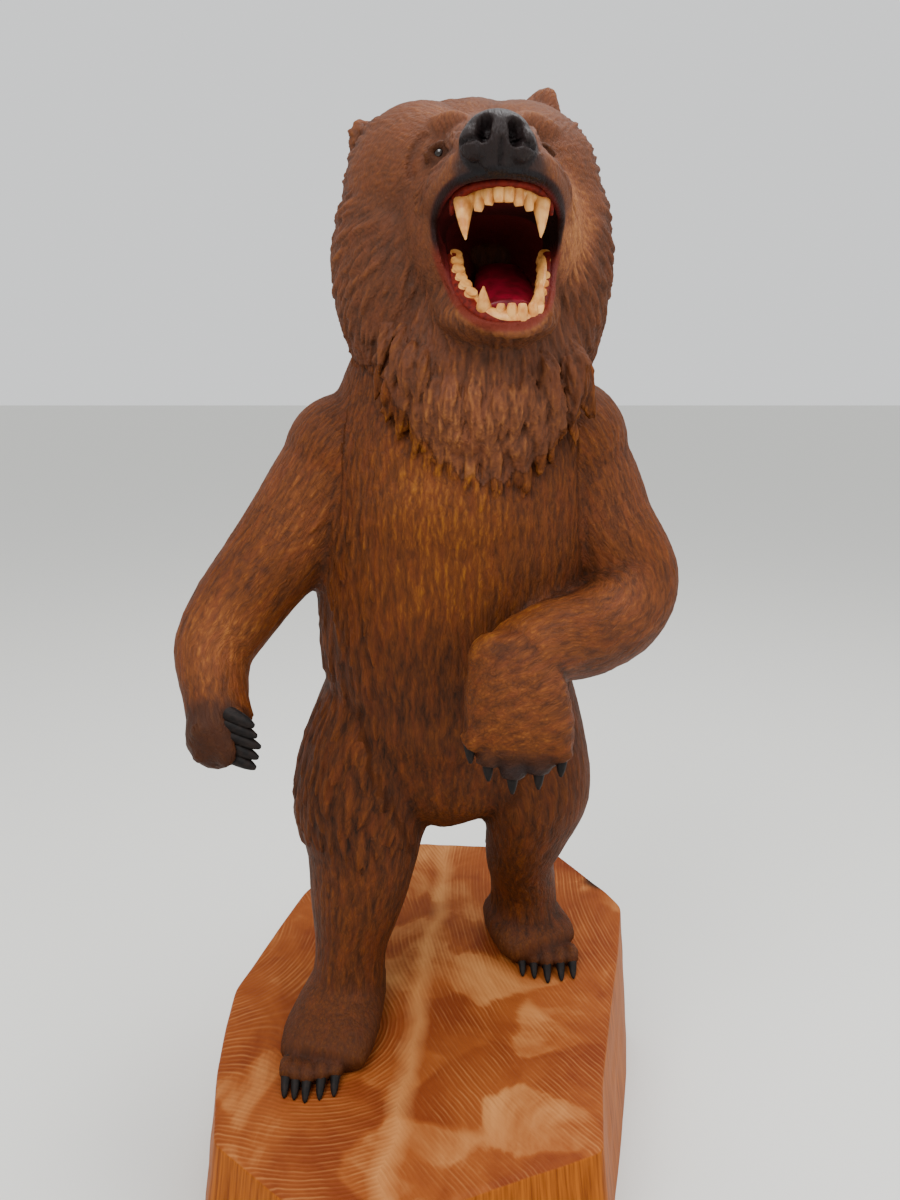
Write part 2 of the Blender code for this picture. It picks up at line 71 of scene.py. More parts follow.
def linear(code: str) -> Row:
    """Turn an sRGB hex colour into linear values.

    Args:
        code: Colour such as "#7a4424".

    Returns:
        Red, green, blue and alpha in linear light.
    """
    parts = [int(code[i:i + 2], 16) / 255 for i in (1, 3, 5)]
    turned = [c / 12.92 if c <= 0.04045 else ((c + 0.055) / 1.055) ** 2.4 for c in parts]
    return (*turned, 1.0)


def add(tree: bpy.types.NodeTree, kind: str, links: dict | None = None, **settings) -> bpy.types.Node:
    """Add one node with its settings and links.

    Args:
        tree: Node tree that takes the node.
        kind: Blender's name of the node type.
        links: Input name or index to the value or output socket that feeds it.
        settings: Node properties by name; stops gives a colour ramp its (place, colour) pairs.

    Returns:
        The new node.
    """
    made = tree.nodes.new(kind)
    stops = settings.pop("stops", None)
    for key, value in settings.items():
        setattr(made, key, value)
    for key, value in (links or {}).items():
        if isinstance(value, Socket):
            tree.links.new(value, made.inputs[key])
        else:
            made.inputs[key].default_value = value
    if stops:
        elements = made.color_ramp.elements
        while len(elements) < len(stops):
            elements.new(0.5)
        for element, (place, colour) in zip(elements, stops):
            element.position = place
            element.color = colour
    return made


def blend_rows(rows: Table, steps: int) -> np.ndarray:
    """Run a Catmull-Rom curve through rows of numbers.

    Args:
        rows: Rows that the curve passes through.
        steps: Points made for each stretch.

    Returns:
        The denser rows.
    """
    kept = np.array(rows, dtype=float)
    padded = np.vstack([2 * kept[0] - kept[1], kept, 2 * kept[-1] - kept[-2]])
    out = []
    for i in range(1, len(kept)):
        a, b, c, d = padded[i - 1], padded[i], padded[i + 1], padded[i + 2]
        for k in range(steps):
            t = k / steps
            out.append(0.5 * (2 * b + (c - a) * t + (2 * a - 5 * b + 4 * c - d) * t ** 2
                              + (3 * b - a - 3 * c + d) * t ** 3))
    out.append(kept[-1])
    return np.array(out)


def mesh_object(name: str, verts: list, faces: list) -> bpy.types.Object:
    """Make an object from plain lists, its faces turned outward.

    Args:
        name: Name of the object.
        verts: Corner places.
        faces: Corner numbers of each face.

    Returns:
        The new object, linked to the scene.
    """
    mesh = bpy.data.meshes.new(name)
    mesh.from_pydata([tuple(v) for v in verts], [], faces)
    bm = bmesh.new()
    bm.from_mesh(mesh)
    bmesh.ops.recalc_face_normals(bm, faces=bm.faces)
    bm.to_mesh(mesh)
    bm.free()
    return linked(name, mesh)


def linked(name: str, mesh: bpy.types.Mesh) -> bpy.types.Object:
    """Link a new object that holds a mesh to the scene.

    Args:
        name: Name of the object.
        mesh: Mesh that it holds.

    Returns:
        The new object.
    """
    obj = bpy.data.objects.new(name, mesh)
    bpy.context.scene.collection.objects.link(obj)
    return obj


def applied(obj: bpy.types.Object, kind: str, **settings) -> bpy.types.Object:
    """Take one modifier's result into the mesh.

    Args:
        obj: Object that is changed.
        kind: Modifier type.
        settings: Modifier properties by name.

    Returns:
        The same object.
    """
    modifier = obj.modifiers.new(kind.title(), kind)
    for key, value in settings.items():
        setattr(modifier, key, value)
    return taken(obj)


def taken(obj: bpy.types.Object) -> bpy.types.Object:
    """Replace an object's mesh by its evaluated one and remove its modifiers.

    Args:
        obj: Object that is changed.

    Returns:
        The same object.
    """
    depsgraph = bpy.context.evaluated_depsgraph_get()
    result = bpy.data.meshes.new_from_object(obj.evaluated_get(depsgraph))
    obj.modifiers.clear()
    old = obj.data
    obj.data = result
    bpy.data.meshes.remove(old)
    return obj


def joined(name: str, objects: list[bpy.types.Object]) -> bpy.types.Object:
    """Put several meshes into one object.

    Args:
        name: Name of the object made.
        objects: Objects that are taken up and removed.

    Returns:
        The new object.
    """
    bm = bmesh.new()
    for obj in objects:
        bm.from_mesh(obj.data)
        bpy.data.objects.remove(obj)
    mesh = bpy.data.meshes.new(name)
    bm.to_mesh(mesh)
    bm.free()
    return linked(name, mesh)


def vectors(items: bpy.types.bpy_prop_collection, key: str) -> np.ndarray:
    """Read one vector property of a mesh collection.

    Args:
        items: Collection such as a mesh's vertices.
        key: Property such as "co".

    Returns:
        One row of three for each item.
    """
    flat = np.empty(len(items) * 3)
    items.foreach_get(key, flat)
    return flat.reshape(-1, 3)


def store(mesh: bpy.types.Mesh, name: str, values: np.ndarray) -> None:
    """Write numbers or vectors to a point attribute.

    Args:
        mesh: Mesh that takes the attribute.
        name: Attribute name.
        values: One number or one row of three for each point.
    """
    kind, key = ("FLOAT", "value") if values.ndim == 1 else ("FLOAT_VECTOR", "vector")
    attribute = mesh.attributes.new(name, kind, "POINT")
    attribute.data.foreach_set(key, values.astype(np.float32).ravel())


def rise(value: np.ndarray, low: float, high: float) -> np.ndarray:
    """Step smoothly from 0 to 1.

    Args:
        value: Numbers to turn.
        low: Number that gives 0.
        high: Number that gives 1, which may lie below low.

    Returns:
        Numbers from 0 to 1.
    """
    t = np.clip((value - low) / (high - low), 0, 1)
    return t * t * (3 - 2 * t)


def reach(spots: np.ndarray, centre: Row, radii: Row | float) -> np.ndarray:
    """Measure how far points lie from a centre.

    Args:
        spots: Rows of x, y and z.
        centre: Middle of an ellipsoid.
        radii: Its radii, or one radius.

    Returns:
        1 on the ellipsoid, less inside it.
    """
    return np.linalg.norm((spots - centre) / radii, axis=1)


def place(obj: bpy.types.Object, material: bpy.types.Material | None = None) -> bpy.types.Object:
    """Make an object a finished piece of the bear.

    Args:
        obj: Object with its place in its mesh.
        material: Finish of the whole piece, where its mesh doesn't carry one yet.

    Returns:
        The same object.
    """
    if material:
        obj.data.materials.clear()
        obj.data.materials.append(material)
    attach(obj, BODY)
    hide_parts(NODE)
    LOG.info("%s: %d faces", obj.name, len(obj.data.polygons))
    return obj


@dataclass(frozen=True)
class LogShape:
    """Sizes of the log base in metres; its corners are shares of its width and depth."""

    width: float = 0.417
    depth: float = 0.5
    back_height: float = 0.193
    front_height: float = 0.093
    flare: float = 0.016
    middle_x: float = -0.0125
    middle_y: float = -0.022
    seam_rise: float = 0.006
    corners: Table = (
        (-0.102, 0.000), (-0.303, 0.068), (-0.464, 0.176), (-0.495, 0.330), (-0.501, 0.434),
        (-0.500, 0.532), (-0.426, 0.714), (-0.373, 0.832), (-0.222, 0.992), (-0.030, 1.000),
        (0.339, 0.980), (0.464, 0.840), (0.500, 0.788), (0.466, 0.644), (0.423, 0.498),
        (0.370, 0.304), (0.349, 0.160), (0.059, 0.068),
    )

    def height(self, x: float, y: float) -> float:
        """Height of the top at a place.

        Args:
            x: Place across, in metres.
            y: Place in depth, in metres.

        Returns:
            Height above the floor, with the low rise along the seam.
        """
        share = (y - self.middle_y) / self.depth + 0.5
        slope = self.front_height + (self.back_height - self.front_height) * share
        seam_x = self.middle_x - 0.105 * self.width + 0.07 * self.width * share
        fall = min(abs(x - seam_x) / (0.5 * self.width), 1.0)
        return slope + self.seam_rise * (0.5 - fall)


@dataclass(frozen=True)
class BearScale:
    """Turns places in hundredths of the bear's height into metres, from the ground under it."""

    height: float = 0.85
    log: LogShape = LogShape()

    @property
    def share(self) -> float:
        """One hundredth of the bear's height in metres."""
        return self.height / 100

    def at(self, x: float, y: float, z: float) -> Vector:
        """Place on the bear in metres."""
        return Vector((x * self.share, y * self.share, z * self.share + self.log.height(0.0, 0.0)))

    def on_ground(self, x: float, y: float, rise_: float) -> Row:
        """Place a point above the log's top under it.

        Args:
            x: Place across, in hundredths.
            y: Place in depth, in hundredths.
            rise_: Height above the top, in hundredths.

        Returns:
            The three hundredths that at() takes.
        """
        ground = self.log.height(x * self.share, y * self.share) - self.log.height(0.0, 0.0)
        return x, y, rise_ + ground / self.share

    def shares(self, points: np.ndarray) -> np.ndarray:
        """Places in metres as hundredths of the bear's height."""
        return (points - np.array(self.at(0, 0, 0))) / self.share

    def limb(self, stations: Table, across: Row, sides: int = 28, steps: int = 6,
             power: float = 2.0, spread: float = 0.0, lean: float = 0.0) -> bpy.types.Object:
        """Loft a closed form through cross-sections.

        Args:
            stations: Rows of x, y, z, half width and half thickness in hundredths.
            across: Vector that the width lies square to.
            sides: Corners of each cross-section.
            steps: Cross-sections made for each stretch.
            power: 2 for an ellipse, more for a squarer section.
            spread: Share by which the upper side is wider and the lower side narrower.
            lean: Hundredths by which the upper side lies further across than the middle.

        Returns:
            The lofted object.
        """
        rows = blend_rows(stations, steps)
        centres = [self.at(*row[:3]) for row in rows]
        verts, faces = [], []
        for i, row in enumerate(rows):
            tangent = (centres[min(i + 1, len(rows) - 1)] - centres[max(i - 1, 0)]).normalized()
            side = tangent.cross(Vector(across)).normalized()
            lift = side.cross(tangent).normalized()
            for k in range(sides):
                angle = 2 * math.pi * k / sides
                c, s = math.cos(angle), math.sin(angle)
                u = math.copysign(abs(c) ** (2 / power), c) * max(row[3], 0.02) * self.share
                high = math.copysign(abs(s) ** (2 / power), s)
                u = u * (1 + spread * high) + lean * high * self.share
                verts.append(centres[i] + side * u + lift * high * max(row[4], 0.02) * self.share)
        for i in range(len(rows) - 1):
            for k in range(sides):
                n = (k + 1) % sides
                faces.append((i * sides + k, i * sides + n, (i + 1) * sides + n, (i + 1) * sides + k))
        for end, beyond in ((0, centres[0] - centres[1]), (len(rows) - 1, centres[-1] - centres[-2])):
            reach = 0.55 * min(rows[end][3], rows[end][4]) * self.share
            verts.append(centres[end] + beyond.normalized() * reach)
            for k in range(sides):
                faces.append((end * sides + k, end * sides + (k + 1) % sides, len(verts) - 1))
        return mesh_object("limb", verts, faces)

    def lump(self, centre: Row, radii: Row, turn: Row = (0.0, 0.0, 0.0),
             segments: int = 32) -> bpy.types.Object:
        """Make an ellipsoid.

        Args:
            centre: Middle in hundredths.
            radii: Radii in hundredths.
            turn: Degrees about X, Y and Z.
            segments: Faces around it.

        Returns:
            The new object.
        """
        bm = bmesh.new()
        turned = Matrix.Identity(4)
        for angle, axis in zip(turn, "XYZ"):
            turned = Matrix.Rotation(math.radians(angle), 4, axis) @ turned
        sized = Matrix.Diagonal((*[r * self.share for r in radii], 1.0))
        matrix = Matrix.Translation(self.at(*centre)) @ turned @ sized
        bmesh.ops.create_uvsphere(bm, u_segments=segments, v_segments=segments // 2, radius=1.0,
                                  matrix=matrix)
        mesh = bpy.data.meshes.new("lump")
        bm.to_mesh(mesh)
        bm.free()
        return linked("lump", mesh)


@dataclass(frozen=True)
class Masses:
    """Rough masses of the bear, in hundredths of its height."""

    arm_near: Table = (
        (-9.0, 3.0, 65.6, 5.7, 7.6), (-13.0, 1.8, 60.6, 6.5, 7.2), (-17.0, 0.0, 55.2, 5.9, 6.2),
        (-20.6, -2.6, 50.7, 5.2, 5.4), (-23.4, -5.4, 46.8, 4.8, 4.9), (-24.8, -8.4, 43.6, 4.2, 4.3),
        (-24.0, -12.0, 40.2, 3.4, 3.6), (-23.0, -14.4, 37.8, 3.4, 3.4),
    )
    arm_far: Table = (
        (10.4, 3.2, 67.0, 7.4, 6.2), (14.6, 2.4, 61.8, 7.2, 5.8), (17.0, 1.2, 56.0, 6.2, 5.6),
        (20.0, -0.6, 50.4, 5.4, 5.3), (18.6, -3.6, 46.9, 4.9, 4.9), (14.6, -7.6, 45.4, 4.5, 4.6),
        (10.2, -11.6, 45.4, 4.4, 4.3), (6.6, -14.8, 44.6, 4.2, 3.8),
    )
    leg_near: Table = (
        (-6.2, 3.8, 38.6, 7.0, 8.4), (-7.8, 3.4, 33.4, 7.9, 9.4), (-9.4, 2.2, 27.6, 8.4, 9.4),
        (-10.2, 0.4, 22.5, 8.1, 8.6), (-10.2, -1.6, 17.6, 6.5, 7.0), (-10.8, -3.0, 12.6, 5.5, 5.8),
        (-11.5, -4.0, 7.4, 4.2, 4.8), (-11.8, -4.4, 3.0, 4.2, 5.0),
    )
    leg_far: Table = (
        (6.2, 3.8, 39.0, 7.2, 8.4), (7.0, 3.4, 34.0, 8.0, 9.2), (8.6, 2.4, 29.0, 7.6, 9.0),
        (9.7, 0.8, 24.6, 6.8, 8.0), (9.2, 1.4, 20.0, 5.1, 6.2), (8.6, 4.8, 14.8, 4.3, 5.0),
        (9.2, 7.2, 10.0, 4.1, 4.6), (9.4, 8.0, 5.4, 4.3, 4.8),
    )
    trunk: Table = (
        (-0.6, 3.4, 21.2, 6.0, 5.2), (-0.7, 3.4, 24.2, 11.6, 9.0), (-0.4, 3.3, 30.0, 14.2, 10.6),
        (0.0, 3.0, 36.0, 14.2, 11.0), (-0.2, 2.6, 42.0, 14.6, 11.4), (0.2, 2.5, 49.0, 15.4, 11.7),
        (0.6, 2.6, 56.0, 16.2, 11.8), (0.9, 3.2, 63.0, 16.2, 11.4), (1.3, 3.8, 69.0, 13.8, 10.6),
        (2.0, 3.6, 75.0, 12.0, 10.2), (2.4, 3.0, 82.0, 11.0, 10.0),
    )
    mouth: Table = (
        (4.7, -27.0, 82.3, 6.4, 6.8), (4.7, -20.0, 82.6, 5.6, 6.1), (4.7, -16.0, 82.7, 5.5, 6.0),
        (4.6, -12.0, 82.9, 5.5, 5.5), (4.4, -9.0, 83.2, 4.8, 4.3), (4.3, -5.0, 83.4, 3.3, 2.8),
        (4.2, -2.0, 83.4, 1.6, 1.4),
    )
    mouth_power: float = 2.8
    mouth_spread: float = 0.22
    mouth_lean: float = -0.3
    lip_upper: Table = (
        (-1.0, -9.6, 84.0), (-1.5, -12.0, 86.0), (-1.2, -13.6, 86.5), (-0.9, -15.0, 87.0),
        (-0.3, -16.4, 87.6), (0.5, -17.6, 88.2), (1.8, -18.5, 88.6), (4.4, -19.2, 88.8),
        (7.0, -18.5, 88.6), (8.3, -17.6, 88.2), (9.1, -16.4, 87.6), (9.7, -15.0, 87.0),
        (10.1, -13.6, 86.5), (10.4, -12.0, 86.0), (10.4, -9.6, 84.0),
    )
    lip_lower: Table = (
        (-0.8, -9.2, 84.2), (-0.5, -10.4, 82.6), (0.1, -12.0, 80.4), (0.9, -13.8, 78.5),
        (2.2, -15.4, 76.9), (4.0, -16.4, 75.9), (6.2, -16.7, 75.6), (8.2, -16.0, 76.3),
        (9.1, -14.8, 77.9), (9.5, -12.8, 80.2), (9.9, -10.6, 82.6), (10.2, -9.2, 84.2),
    )
    fingers_far: Table = ((1.9, 36.8), (3.7, 34.9), (6.1, 33.6), (8.7, 34.1), (10.9, 35.4))
    toes_near: Row = (-17.7, -16.6, -15.4, -13.9, -12.4)
    toes_far: Row = (8.9, 10.3, 11.9, 13.6, 15.1)
    toe_fronts: Row = (-14.4, 2.9)

    def toe_places(self) -> list[Row]:
        """Across and depth of every toe, the middle ones foremost."""
        feet = zip((self.toes_near, self.toes_far), self.toe_fronts)
        return [(x, front + 0.35 * abs(i - 2)) for row, front in feet for i, x in enumerate(row)]


class FurRun:
    """Direction of the fur, and coordinates straightened along each limb."""

    def __init__(self, scale: BearScale, masses: Masses) -> None:
        """Cut the limbs' middle lines into short segments.

        Args:
            scale: Bear's scale.
            masses: Forms that the fur follows.
        """
        self.scale = scale
        self.segments: list[tuple] = []
        chains = {Region.ARM_NEAR: masses.arm_near, Region.ARM_FAR: masses.arm_far,
                  Region.LEG_NEAR: masses.leg_near, Region.LEG_FAR: masses.leg_far,
                  Region.TRUNK: masses.trunk[::-1]}
        for region, chain in chains.items():
            rows = blend_rows(chain, 6)
            gone = 0.0
            for a, b in zip(rows, rows[1:]):
                start, end = scale.at(*a[:3]), scale.at(*b[:3])
                radius = 0.25 * (a[3] + a[4] + b[3] + b[4]) * scale.share
                self.segments.append((region.value, np.array(start), np.array(end), radius, gone))
                gone += (end - start).length

    def follow(self, points: np.ndarray) -> tuple[np.ndarray, np.ndarray, np.ndarray]:
        """Find the fur at each point.

        Args:
            points: Places in metres.

        Returns:
            Unit directions, region numbers, and coordinates whose third number runs with the fur.
        """
        best = np.full(len(points), 1e9)
        run = np.zeros_like(points)
        regions = np.zeros(len(points), dtype=int)
        coords = np.zeros_like(points)
        for region, start, end, radius, gone in self.segments:
            axis = end - start
            length = np.linalg.norm(axis)
            axis = axis / length
            offset = points - start
            along = np.clip(offset @ axis, 0, length)
            offset -= along[:, None] * axis
            gap = np.sqrt(np.einsum("ij,ij->i", offset, offset)) - radius
            nearer = gap < best
            front = np.array((0.0, 1.0, 0.0)) - axis * axis[1]
            front /= np.linalg.norm(front)
            best[nearer] = gap[nearer]
            run[nearer] = axis
            regions[nearer] = region
            near = offset[nearer]
            coords[nearer] = np.stack([near @ front, near @ np.cross(axis, front),
                                       along[nearer] + gone + 0.37 * region], axis=1)
        trunk = regions == Region.TRUNK.value
        coords[trunk] = points[trunk] * (1.0, 1.0, -1.0)
        self._follow_head(points, run, regions, coords)
        return run, regions, coords

    @staticmethod
    def ruff_edge(x: np.ndarray) -> np.ndarray:
        """Height of the ruff's lower edge over a place across, in hundredths."""
        return 60.9 + 0.09 * (x - 4.0) ** 2 + 1.1 * np.abs(0.9 * x % 2 - 1)

    def _follow_head(self, points: np.ndarray, run: np.ndarray, regions: np.ndarray,
                     coords: np.ndarray) -> None:
        """Overwrite the fur of the head, which spreads from the face and falls down the ruff.

        Args:
            points: Places in metres.
            run: Directions, changed in place.
            regions: Region numbers, changed in place.
            coords: Straightened coordinates, changed in place.
        """
        x, y, z = self.scale.shares(points).T
        head = z > 73 + 0.12 * (y + 3) ** 2 * (y > -3)
        head |= (z > self.ruff_edge(x)) & (y < -3) & (np.abs(x - 3.4) < 10)
        face = np.array(self.scale.at(4.2, -8.0, 87.0))
        outward = points - face
        outward[:, 1] = 0.35 * np.abs(outward[:, 1]) + 0.02
        outward /= np.linalg.norm(outward, axis=1)[:, None]
        fall = np.clip((96 - z) / 14, 0.15, 3.0)
        spread = outward - fall[:, None] * np.array((0.0, 0.0, 1.0))
        side = rise(np.abs(x - 3.0), 8.5, 11.5) * rise(z, 72, 80) * (z < 98)
        spread += side[:, None] * np.array((0.0, 1.1, 0.0))
        run[head] = spread[head] / np.linalg.norm(spread[head], axis=1)[:, None]
        regions[head] = Region.HEAD.value
        crown = points - np.array(self.scale.at(4.2, -6.0, 97.0))
        reach = np.linalg.norm(crown, axis=1)
        around = crown / np.maximum(reach, 0.01)[:, None] * 0.14
        coords[head] = np.stack([around[:, 0], around[:, 1], reach + 2.1], axis=1)[head]


@dataclass(frozen=True)
class Gouge:
    """One kind of cut: sizes in millimetres."""

    spacing: float
    length: float
    width: float
    depth: float
    wander: float = 0.2


class Carver:
    """Working copy of a fine mesh, on which grooves, locks and pits are pressed."""

    def __init__(self, obj: bpy.types.Object, seed: int) -> None:
        """Read the mesh.

        Args:
            obj: Object that is carved.
            seed: Start of the random draws.
        """
        self.mesh = obj.data
        self.rng = np.random.default_rng(seed)
        self.points = vectors(self.mesh.vertices, "co")
        self.normals = vectors(self.mesh.vertex_normals, "vector")
        self.sink = np.zeros(len(self.points))
        self.lift = np.zeros(len(self.points))
        self.shift = np.zeros_like(self.points)
        self.tree = kdtree.KDTree(len(self.points))
        for i, point in enumerate(self.points):
            self.tree.insert(point, i)
        self.tree.balance()

    def spots(self, mask: np.ndarray, spacing: float) -> np.ndarray:
        """Pick scattered points, about one for each cell of a grid.

        Args:
            mask: Points that may be picked.
            spacing: Size of a cell in millimetres.

        Returns:
            Numbers of the picked points.
        """
        pool = self.rng.permutation(np.flatnonzero(mask))
        cells = np.floor(self.points[pool] / (spacing * MM)).astype(np.int64)
        keys = (cells[:, 0] * 73856093) ^ (cells[:, 1] * 19349663) ^ (cells[:, 2] * 83492791)
        return pool[np.unique(keys, return_index=True)[1]]

    def around(self, index: int, reach: float) -> np.ndarray:
        """Points within reach of one that face the way it does."""
        found = np.array([item[1] for item in self.tree.find_range(self.points[index], reach)])
        return found[self.normals[found] @ self.normals[index] > 0.1]

    def cut(self, mask: np.ndarray, run: np.ndarray, gouge: Gouge, locks: bool = False) -> None:
        """Cover a region with cuts along the fur, or with raised locks that end in a point.

        Args:
            mask: Points of the region.
            run: Direction of the fur at every point.
            gouge: Kind of cut.
            locks: Raise overlapping locks instead of sinking grooves.
        """
        for index in self.spots(mask, gouge.spacing):
            size = self.rng.uniform(0.75, 1.25)
            turn = self.rng.uniform(-gouge.wander, gouge.wander)
            direction = run[index] + turn * np.cross(self.normals[index], run[index])
            direction /= np.linalg.norm(direction)
            length, width = gouge.length * MM * size, gouge.width * MM * size
            found = self.around(index, 0.55 * length)
            if not len(found):
                continue
            offset = self.points[found] - self.points[index]
            along = offset @ direction
            side = np.linalg.norm(offset - along[:, None] * direction, axis=1)
            t = np.clip(along / length + 0.5, 0, 1)
            if locks:
                across = side / (0.5 * width * np.sqrt(1.02 - t))
                shape = np.clip(1 - across ** 2, 0, 1) * t ** 0.8 * (along < 0.5 * length)
                self.lift[found] = np.maximum(self.lift[found], gouge.depth * MM * size * shape)
            else:
                shape = np.clip(1 - 2 * side / width, 0, 1) * np.sin(math.pi * t) ** 0.7
                self.sink[found] = np.maximum(self.sink[found], gouge.depth * MM * size * shape)

    def groove(self, path: list[Vector], width: float, depth: float) -> None:
        """Sink one groove along a path.

        Args:
            path: Places in metres.
            width: Width in metres.
            depth: Depth in metres.
        """
        for a, b in zip(path, path[1:]):
            steps = max(int((b - a).length / (0.3 * width)), 1)
            for k in range(steps + 1):
                self.pit(a.lerp(b, k / steps), 0.5 * width, depth)

    def pit(self, centre: Vector, radius: float, depth: float) -> None:
        """Sink a round pit into the surface.

        Args:
            centre: Middle of the pit in metres.
            radius: Radius in metres.
            depth: Depth in metres.
        """
        found = self.tree.find_range(centre, 1.6 * radius)
        if not found:
            return
        numbers = np.array([item[1] for item in found])
        axis = self.normals[numbers].mean(axis=0)
        axis /= np.linalg.norm(axis)
        offset = self.points[numbers] - np.array(centre)
        side = np.linalg.norm(offset - (offset @ axis)[:, None] * axis, axis=1)
        push = depth * (1 - rise(side, 0.25 * radius, radius))
        deeper = push > np.linalg.norm(self.shift[numbers], axis=1)
        self.shift[numbers[deeper]] = -axis * push[deeper][:, None]

    def press(self) -> tuple[np.ndarray, np.ndarray]:
        """Write the carving to the mesh.

        Returns:
            How deep each point is cut, and how far it stands proud of its neighbours, in millimetres.
        """
        self.points = self.points + self.shift + self.normals * (self.lift - self.sink)[:, None]
        self.mesh.vertices.foreach_set("co", self.points.ravel())
        self.mesh.update()
        edges = np.empty(len(self.mesh.edges) * 2, dtype=np.int32)
        self.mesh.edges.foreach_get("vertices", edges)
        a, b = edges.reshape(-1, 2).T
        both, other = np.concatenate([a, b]), np.concatenate([b, a])
        count = np.bincount(both, minlength=len(self.points))
        smooth = self.points.copy()
        for _ in range(14):
            smooth = np.stack([np.bincount(both, smooth[other, k], len(count)) for k in range(3)],
                              axis=1) / np.maximum(count, 1)[:, None]
        normals = vectors(self.mesh.vertex_normals, "vector")
        proud = np.einsum("ij,ij->i", self.points - smooth, normals)
        return self.sink / MM, proud / MM


